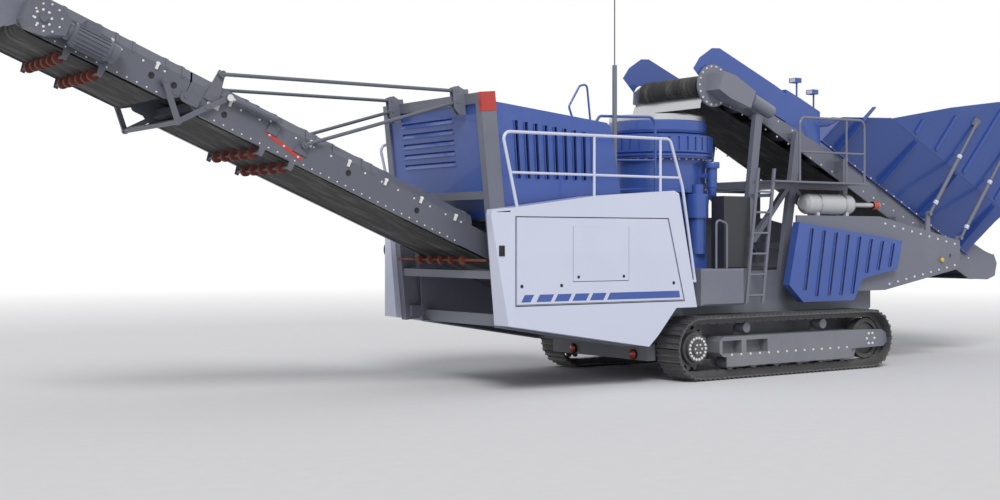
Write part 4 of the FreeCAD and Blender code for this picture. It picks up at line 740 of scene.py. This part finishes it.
# %% Door seals
rim_corners = ((-2.450, 2.173), (-2.450, 1.090), (0.313, 1.090), (0.027, 2.173))
door_corners = ((-2.440, 2.165), (-2.440, 1.100), (0.300, 1.100), (0.020, 2.165))
for s, side_name in ((-1, "near"), (1, "far")):
    strips = []
    # Black strips behind the gap: rubber seals that also stand in for the gap's shade.
    for (xa, za), (xb, zb) in zip(door_corners, door_corners[1:] + door_corners[:1]):
        a, b = Vector((xa, s * 1.461, za)), Vector((xb, s * 1.461, zb))
        strips.append(block((a + b) / 2, ((b - a).length + 0.03, 0.045, 0.012), b - a, (0, s, 0), 0.003))
    # Outer strips: painted shade along the edge of each door gap.
    for (xa, za), (xb, zb) in zip(rim_corners, rim_corners[1:] + rim_corners[:1]):
        a, b = Vector((xa, s * 1.5003, za)), Vector((xb, s * 1.5003, zb))
        strips.append(block((a + b) / 2, ((b - a).length + 0.010, 0.012, 0.003), b - a, (0, s, 0), 0.001))
    assemble("door_seals_and_gap_shade_" + side_name, strips, "machine", seal_rubber)

# %% [markdown]
# ## Grab rails
# Blue and grey rails are bent tube. The one behind the power housing starts on the housing, runs level past
# the crusher and drops to the chassis; a small hoop stands on the side box beside the ladder.

# %% Bend the rails
def upright(y, places):
    """Route of (x, z) places in the upright plane at y."""
    return [(x, y, z) for x, z in places]


long_rail = upright(-0.85, ((-0.70, 3.405), (-0.60, 3.53), (0.30, 3.56), (0.38, 3.50), (0.38, 1.452)))
knee_rail = upright(-0.85, ((-0.52, 2.95), (0.38, 2.98)))
roof_grip = upright(-0.90, ((-1.10, 3.475), (-1.16, 3.62), (-0.98, 3.90), (-0.86, 3.93), (-0.80, 3.44)))
step_grip = upright(-1.34, ((1.05, 1.495), (1.05, 2.18), (1.25, 2.12), (1.25, 1.495)))
rails = [tube(long_rail, 0.019, 0.07, blue_coat), tube(knee_rail, 0.015, 0.02, blue_coat),
         tube(roof_grip, 0.014, 0.05, blue_coat)]
gather("blue_grab_rails", rails, "machine")
gather("step_hoop", [tube(step_grip, 0.016, 0.06, grey_coat)], "machine")

# %% [markdown]
# ## Lamps and signal marks
# Two round red lamps sit on the beam between the tracks, a red reflective cap wraps the portal's near corner,
# and two work lamps stand on the canopy. A lamp is a turned body with a domed lens; the lens is its own piece
# because it has its own material.

# %% Red lamps and portal cap
cup = [(0.0, 0.0), (0.068, 0.0), (0.072, 0.010), (0.070, 0.030), (0.062, 0.034), (0.0, 0.022)]
dome = [(0.0, 0.020), (0.060, 0.020), (0.060, 0.034), (0.045, 0.043), (0.022, 0.048), (0.0, 0.049)]
for kind, profile, finish, slot in (("bodies", cup, seal_rubber, "dark_paint"),
                                    ("lenses", dome, red_lens, "disc_rubber")):
    lamps = [turned(profile, (0.079, y, 0.345), (-1, 0, 0), 32) for y in (0.54, -0.76)]
    assemble("front_lamp_" + kind, lamps, "machine", finish)
lean_back = math.atan2(300, 2880)


def portal(x, z):
    c, s = math.cos(lean_back), math.sin(lean_back)
    return (-2.430 + x * c - z * s, 0.810 + x * s + z * c)


cap = [portal(-0.003, 2.66), portal(0.224, 2.66), portal(0.224, 2.899), portal(-0.003, 2.899)]
assemble("portal_cap", [prism(cap, -1.153, -1.100, 0.003)], "machine", red_lens)
portal_bolts = []
for s in (-1, 1):
    for x in (0.05, 0.17):
        a, b = portal(x, 0.15), portal(x, 0.55)
        portal_bolts.append(side_bolts((a[0], s * 1.150, a[1]), (b[0], s * 1.150, b[1]), s, 4, 0.014, zinc))
gather("portal_bolts", portal_bolts, "machine")

# %% Tank fittings
tank_y, tank_z = -1.105, 2.420
valve = turned([(0.034, 0.0), (0.060, 0.0), (0.061, 0.012), (0.061, 0.118), (0.050, 0.133), (0.0, 0.133)],
               (4.560, tank_y, tank_z), (1, 0, 0), 32)
assemble("tank_valve", [valve], "machine", red_coat)
hoop_section = [(0.151, -0.016), (0.155, -0.016), (0.155, 0.016), (0.151, 0.016)]
bands = [turned(hoop_section, (x, tank_y, tank_z), (1, 0, 0), 48, ring=True) for x in (3.29, 3.83)]
assemble("tank_bands", bands, "machine", zinc)

# %% Guide roller below the belt and work lamp lenses
axle_x, axle_z = -2.560, 1.640
axle_half = 1.029
axle = [(0.0, -axle_half), (0.016, -axle_half), (0.016, axle_half), (0.0, axle_half)]
roller = [turned(axle, (axle_x, 0, axle_z), (0, 1, 0), 16)]
disc = [(0.0165, -0.022), (0.050, -0.022), (0.060, -0.014), (0.060, 0.014), (0.050, 0.022), (0.0165, 0.022)]
roller += [turned(disc, (axle_x, y, axle_z), (0, 1, 0), 28, ring=True)
           for y in (-0.53, -0.28, -0.03, 0.21, 0.45)]
assemble("guide_roller", roller, "machine", disc_rubber)
panes = []
for x, z in ((3.330, 4.020), (3.700, 3.870)):
    panes.append(block((x - 0.0915, -0.710, z + 0.250), (0.105, 0.055, 0.006), (0, 1, 0), (-1, 0, 0), 0.002))
assemble("work_lamp_panes", panes, "machine", clear_lens)

# %% [markdown]
# ## Hopper and chassis hardware
# The hopper walls are bolted to their rails, the wings' struts have pale end collars, and the rear plates
# carry a bolted doubler with a bright knob. Louvre lips on the side covers give each slot its pressed edge.

# %% Hopper bolts, collars and knob
rows = []
for s in (-1, 1):
    (x0, z0), (x1, z1) = hopper(0.2, 0.0), hopper(3.7, 0.0)
    rows.append(side_bolts((x0, s * 0.800, z0 - 0.008), (x1, s * 0.800, z1 - 0.008), s, 18, 0.010, grey_coat))
    for x0, z0, x1, z1 in ((4.75, 2.14, 6.45, 1.83), (4.85, 1.22, 6.45, 1.49)):
        rows.append(side_bolts((x0, s * 1.200, z0), (x1, s * 1.200, z1), s, 9, 0.013, grey_coat))
gather("hopper_bolts", rows, "machine")
knob_profile = [(0.0, 0.0), (0.020, 0.0), (0.020, 0.018), (0.034, 0.024),
                (0.036, 0.040), (0.028, 0.048), (0.0, 0.050)]
knob = turned(knob_profile, (6.10, -1.199, 1.58), (0, -1, 0), 28)
assemble("release_knob", [knob], "machine", amber_knob)
hinge_y, hinge_n, wing_lean = 1.300, 0.735, 0.324       # the wings' hinge line and how far they lean out
collar = [(0.024, -0.03), (0.038, -0.03), (0.040, -0.02), (0.040, 0.02), (0.038, 0.03), (0.024, 0.03)]
for s, side_name in ((-1, "near"), (1, "far")):
    collars = []
    for a in (2.280, 3.150):
        x0, z0 = hopper(a, -0.100)
        x1, z1 = hopper(a, 1.500)
        p = Vector((x0, s * 1.2223, z0))
        wing_face = hinge_y + wing_lean * (1.500 - hinge_n)
        q = Vector((x1, s * (wing_face + 0.032), z1))
        way = (q - p).normalized()
        for share in (0.12, 0.62):
            collars.append(turned(collar, p.lerp(q, share), way, 24, ring=True))
    assemble("strut_collars_" + side_name, collars, "wing_" + side_name, white_coat)

# %% [markdown]
# The folding wings are flat sheet, so top-hat ribs stiffen them from outside, square to the rim. Each rib is
# a bar that starts above the hinge and stops short of the rim.

# %% Wing ribs
wing_ribs = ((1.30, 1.02), (1.85, 1.38), (2.62, 1.90), (3.55, 2.38))
down_slope = Vector((hopper(1, 0)[0] - hopper(0, 0)[0], 0, hopper(1, 0)[1] - hopper(0, 0)[1]))


def wing_point(a, n, s):
    """Point on a wing's outer face: a along the hopper, n square to its floor."""
    x, z = hopper(a, n)
    return Vector((x, s * (hinge_y + wing_lean * (n - hinge_n)), z))


for s, side_name in ((-1, "near"), (1, "far")):
    ribs = []
    for a, high in wing_ribs:
        foot, top = wing_point(a, 0.79, s), wing_point(a, high, s)
        out = (top - foot).cross(down_slope).normalized()
        out = out if out.y * s > 0 else -out
        middle = (foot + top) / 2 + out * 0.011
        ribs.append(block(middle, ((top - foot).length, 0.060, 0.026), top - foot, out, 0.006))
    assemble("wing_ribs_" + side_name, ribs, "wing_" + side_name, blue_coat)

# %% Louvre lips
slots = ((2.980, 2.060, 2.830, 1.170), (3.240, 2.030, 3.075, 1.080), (3.500, 2.000, 3.340, 1.080),
         (3.760, 1.970, 3.600, 1.080), (4.020, 1.940, 3.850, 1.100), (4.280, 1.905, 4.170, 1.400),
         (4.540, 1.875, 4.430, 1.440), (4.790, 1.840, 4.700, 1.490))


def lip(top, foot, s, width):
    """Pressed edge of one louvre slot, tilted out of its panel."""
    return block((top + foot) / 2 + Vector((0, s * 0.006, 0)), ((top - foot).length, width, 0.014), top - foot,
                 (0.45, s, 0), 0.005)


cover_face = 1.3203
for s, side_name in ((-1, "near"), (1, "far")):
    lips = []
    for xt, zt, xf, zf in slots:
        y = s * cover_face
        top, foot = Vector((xt - 0.012, y, zt)), Vector((xf - 0.012, y, zf))
        lips.append(lip(top, foot, s, 0.024))
    assemble("louvre_lips_" + side_name, lips, "cover_" + side_name, blue_coat)
housing_face = 1.090
lips = []
for s in (-1, 1):
    for i in range(9):
        xt, zt = -2.170 + i * 0.155, 3.380 - i * 0.014
        top = Vector((xt - 0.012, s * housing_face, zt))
        foot = Vector((xt + 0.040 - i * 0.005, s * housing_face, 2.660))
        lips.append(lip(top, foot, s, 0.022))
assemble("housing_louvre_lips", lips, "machine", blue_coat)

# %% [markdown]
# ## Tracks
# The drive sprocket's hub shows a circle of large bolts and a filler plug; the idler has a bearing cap. The
# sprocket's bolts ride on the sprocket bodies; the idler's bolts and a row along the track frame ride on the
# machine.

# %% Hub hardware
sprocket_x, idler_x, wheel_z, frame_face = 0.625, 4.125, 0.435, 1.435
for s, tag in ((-1, "n"), (1, "f")):
    outward = (0.0, float(s), 0.0)
    hub = [ring_bolts((sprocket_x, s * 1.425, wheel_z), outward, 0.145, 18, 0.013, track_steel),
           ring_bolts((sprocket_x, s * 1.443, wheel_z), outward, 0.060, 6, 0.010, track_steel)]
    gather("sprocket_bolts_" + tag, hub, "sprocket_" + tag)
frame_bolts = []
for s in (-1, 1):
    y = s * frame_face
    frame_bolts.append(side_bolts((1.25, y, 0.325), (3.60, y, 0.325), s, 14, 0.012, zinc))
    frame_bolts.append(ring_bolts((idler_x, y, wheel_z), (0.0, float(s), 0.0), 0.085, 6, 0.014, zinc))
gather("track_frame_bolts", frame_bolts, "machine")

# %% [markdown]
# ## Floor, light and camera
# The machine stands in a plain studio: a pale floor that keeps its shadow and fades to white far away, even
# light from the world and one broad lamp from the front left. The camera's place was worked out from the
# vanishing lines of the picture that is followed: eye level, turned 35.6 degrees, with a level horizon.

# %% Studio
floor_mesh = bpy.data.meshes.new("floor")
reach = 160.0
corners = [(x * reach, y * reach, -0.0005) for x, y in ((-1, -1), (1, -1), (1, 1), (-1, 1))]
floor_mesh.from_pydata(corners, [], [(0, 1, 2, 3)])
floor = bpy.data.objects.new("floor", floor_mesh)
bpy.context.scene.collection.objects.link(floor)
m = Bench("studio_floor")
place = m.node("ShaderNodeTexCoord", out="Object")
far = m.node("ShaderNodeVectorMath", {"operation": "LENGTH"}, {0: place}, out="Value")
fade = ((far - 13.0) * 0.045).clip()
paths = m.tree.nodes.new("ShaderNodeLightPath")
camera_sees = Wire(m, paths.outputs["Is Camera Ray"])
grain = m.cloud(place, 6.0, 4.0)
pale = m.mix((0.70, 0.70, 0.72), (0.75, 0.75, 0.77), grain)
ground = m.node("ShaderNodeBsdfDiffuse", {}, {"Color": pale}, out="BSDF")
glow = m.node("ShaderNodeEmission", {}, {"Color": (1.0, 1.0, 1.0), "Strength": 1.0}, out="Emission")
both = m.node("ShaderNodeMixShader", {}, {0: fade * camera_sees, 1: ground, 2: glow})
m.tree.links.new(both.socket, m.end.inputs["Surface"])
floor_mesh.materials.append(m.material)

world = bpy.data.worlds.new("studio")
bpy.context.scene.world = world
world.use_nodes = True
sky = world.node_tree
sky.nodes.clear()
paths = sky.nodes.new("ShaderNodeLightPath")
seen = sky.nodes.new("ShaderNodeMath")
seen.operation = "MAXIMUM"
sky.links.new(paths.outputs["Is Camera Ray"], seen.inputs[0])
sky.links.new(paths.outputs["Is Glossy Ray"], seen.inputs[1])
level = sky.nodes.new("ShaderNodeMapRange")
level.inputs["To Min"].default_value = 0.52
level.inputs["To Max"].default_value = 1.0
sky.links.new(seen.outputs[0], level.inputs["Value"])
back = sky.nodes.new("ShaderNodeBackground")
back.inputs["Color"].default_value = (1.0, 1.0, 1.0, 1.0)
sky.links.new(level.outputs[0], back.inputs["Strength"])
out = sky.nodes.new("ShaderNodeOutputWorld")
sky.links.new(back.outputs[0], out.inputs["Surface"])

lamp = bpy.data.lights.new("broad_lamp", "SUN")
lamp.energy = 1.8
lamp.angle = math.radians(24)
key = bpy.data.objects.new("broad_lamp", lamp)
key.rotation_euler = Vector((-0.42, -0.62, 0.66)).to_track_quat("Z", "Y").to_euler()
bpy.context.scene.collection.objects.link(key)

eye = bpy.data.cameras.new("camera")
eye.lens, eye.sensor_width, eye.shift_y = 50.0, 36.0, -0.01
eye.clip_end = 500.0
camera = bpy.data.objects.new("camera", eye)
camera.location = (-12.35, -15.0, 1.892)
camera.rotation_euler = (math.radians(90), 0.0, math.radians(-35.6))
bpy.context.scene.collection.objects.link(camera)
bpy.context.scene.camera = camera
bpy.context.scene.view_settings.view_transform = "Standard"
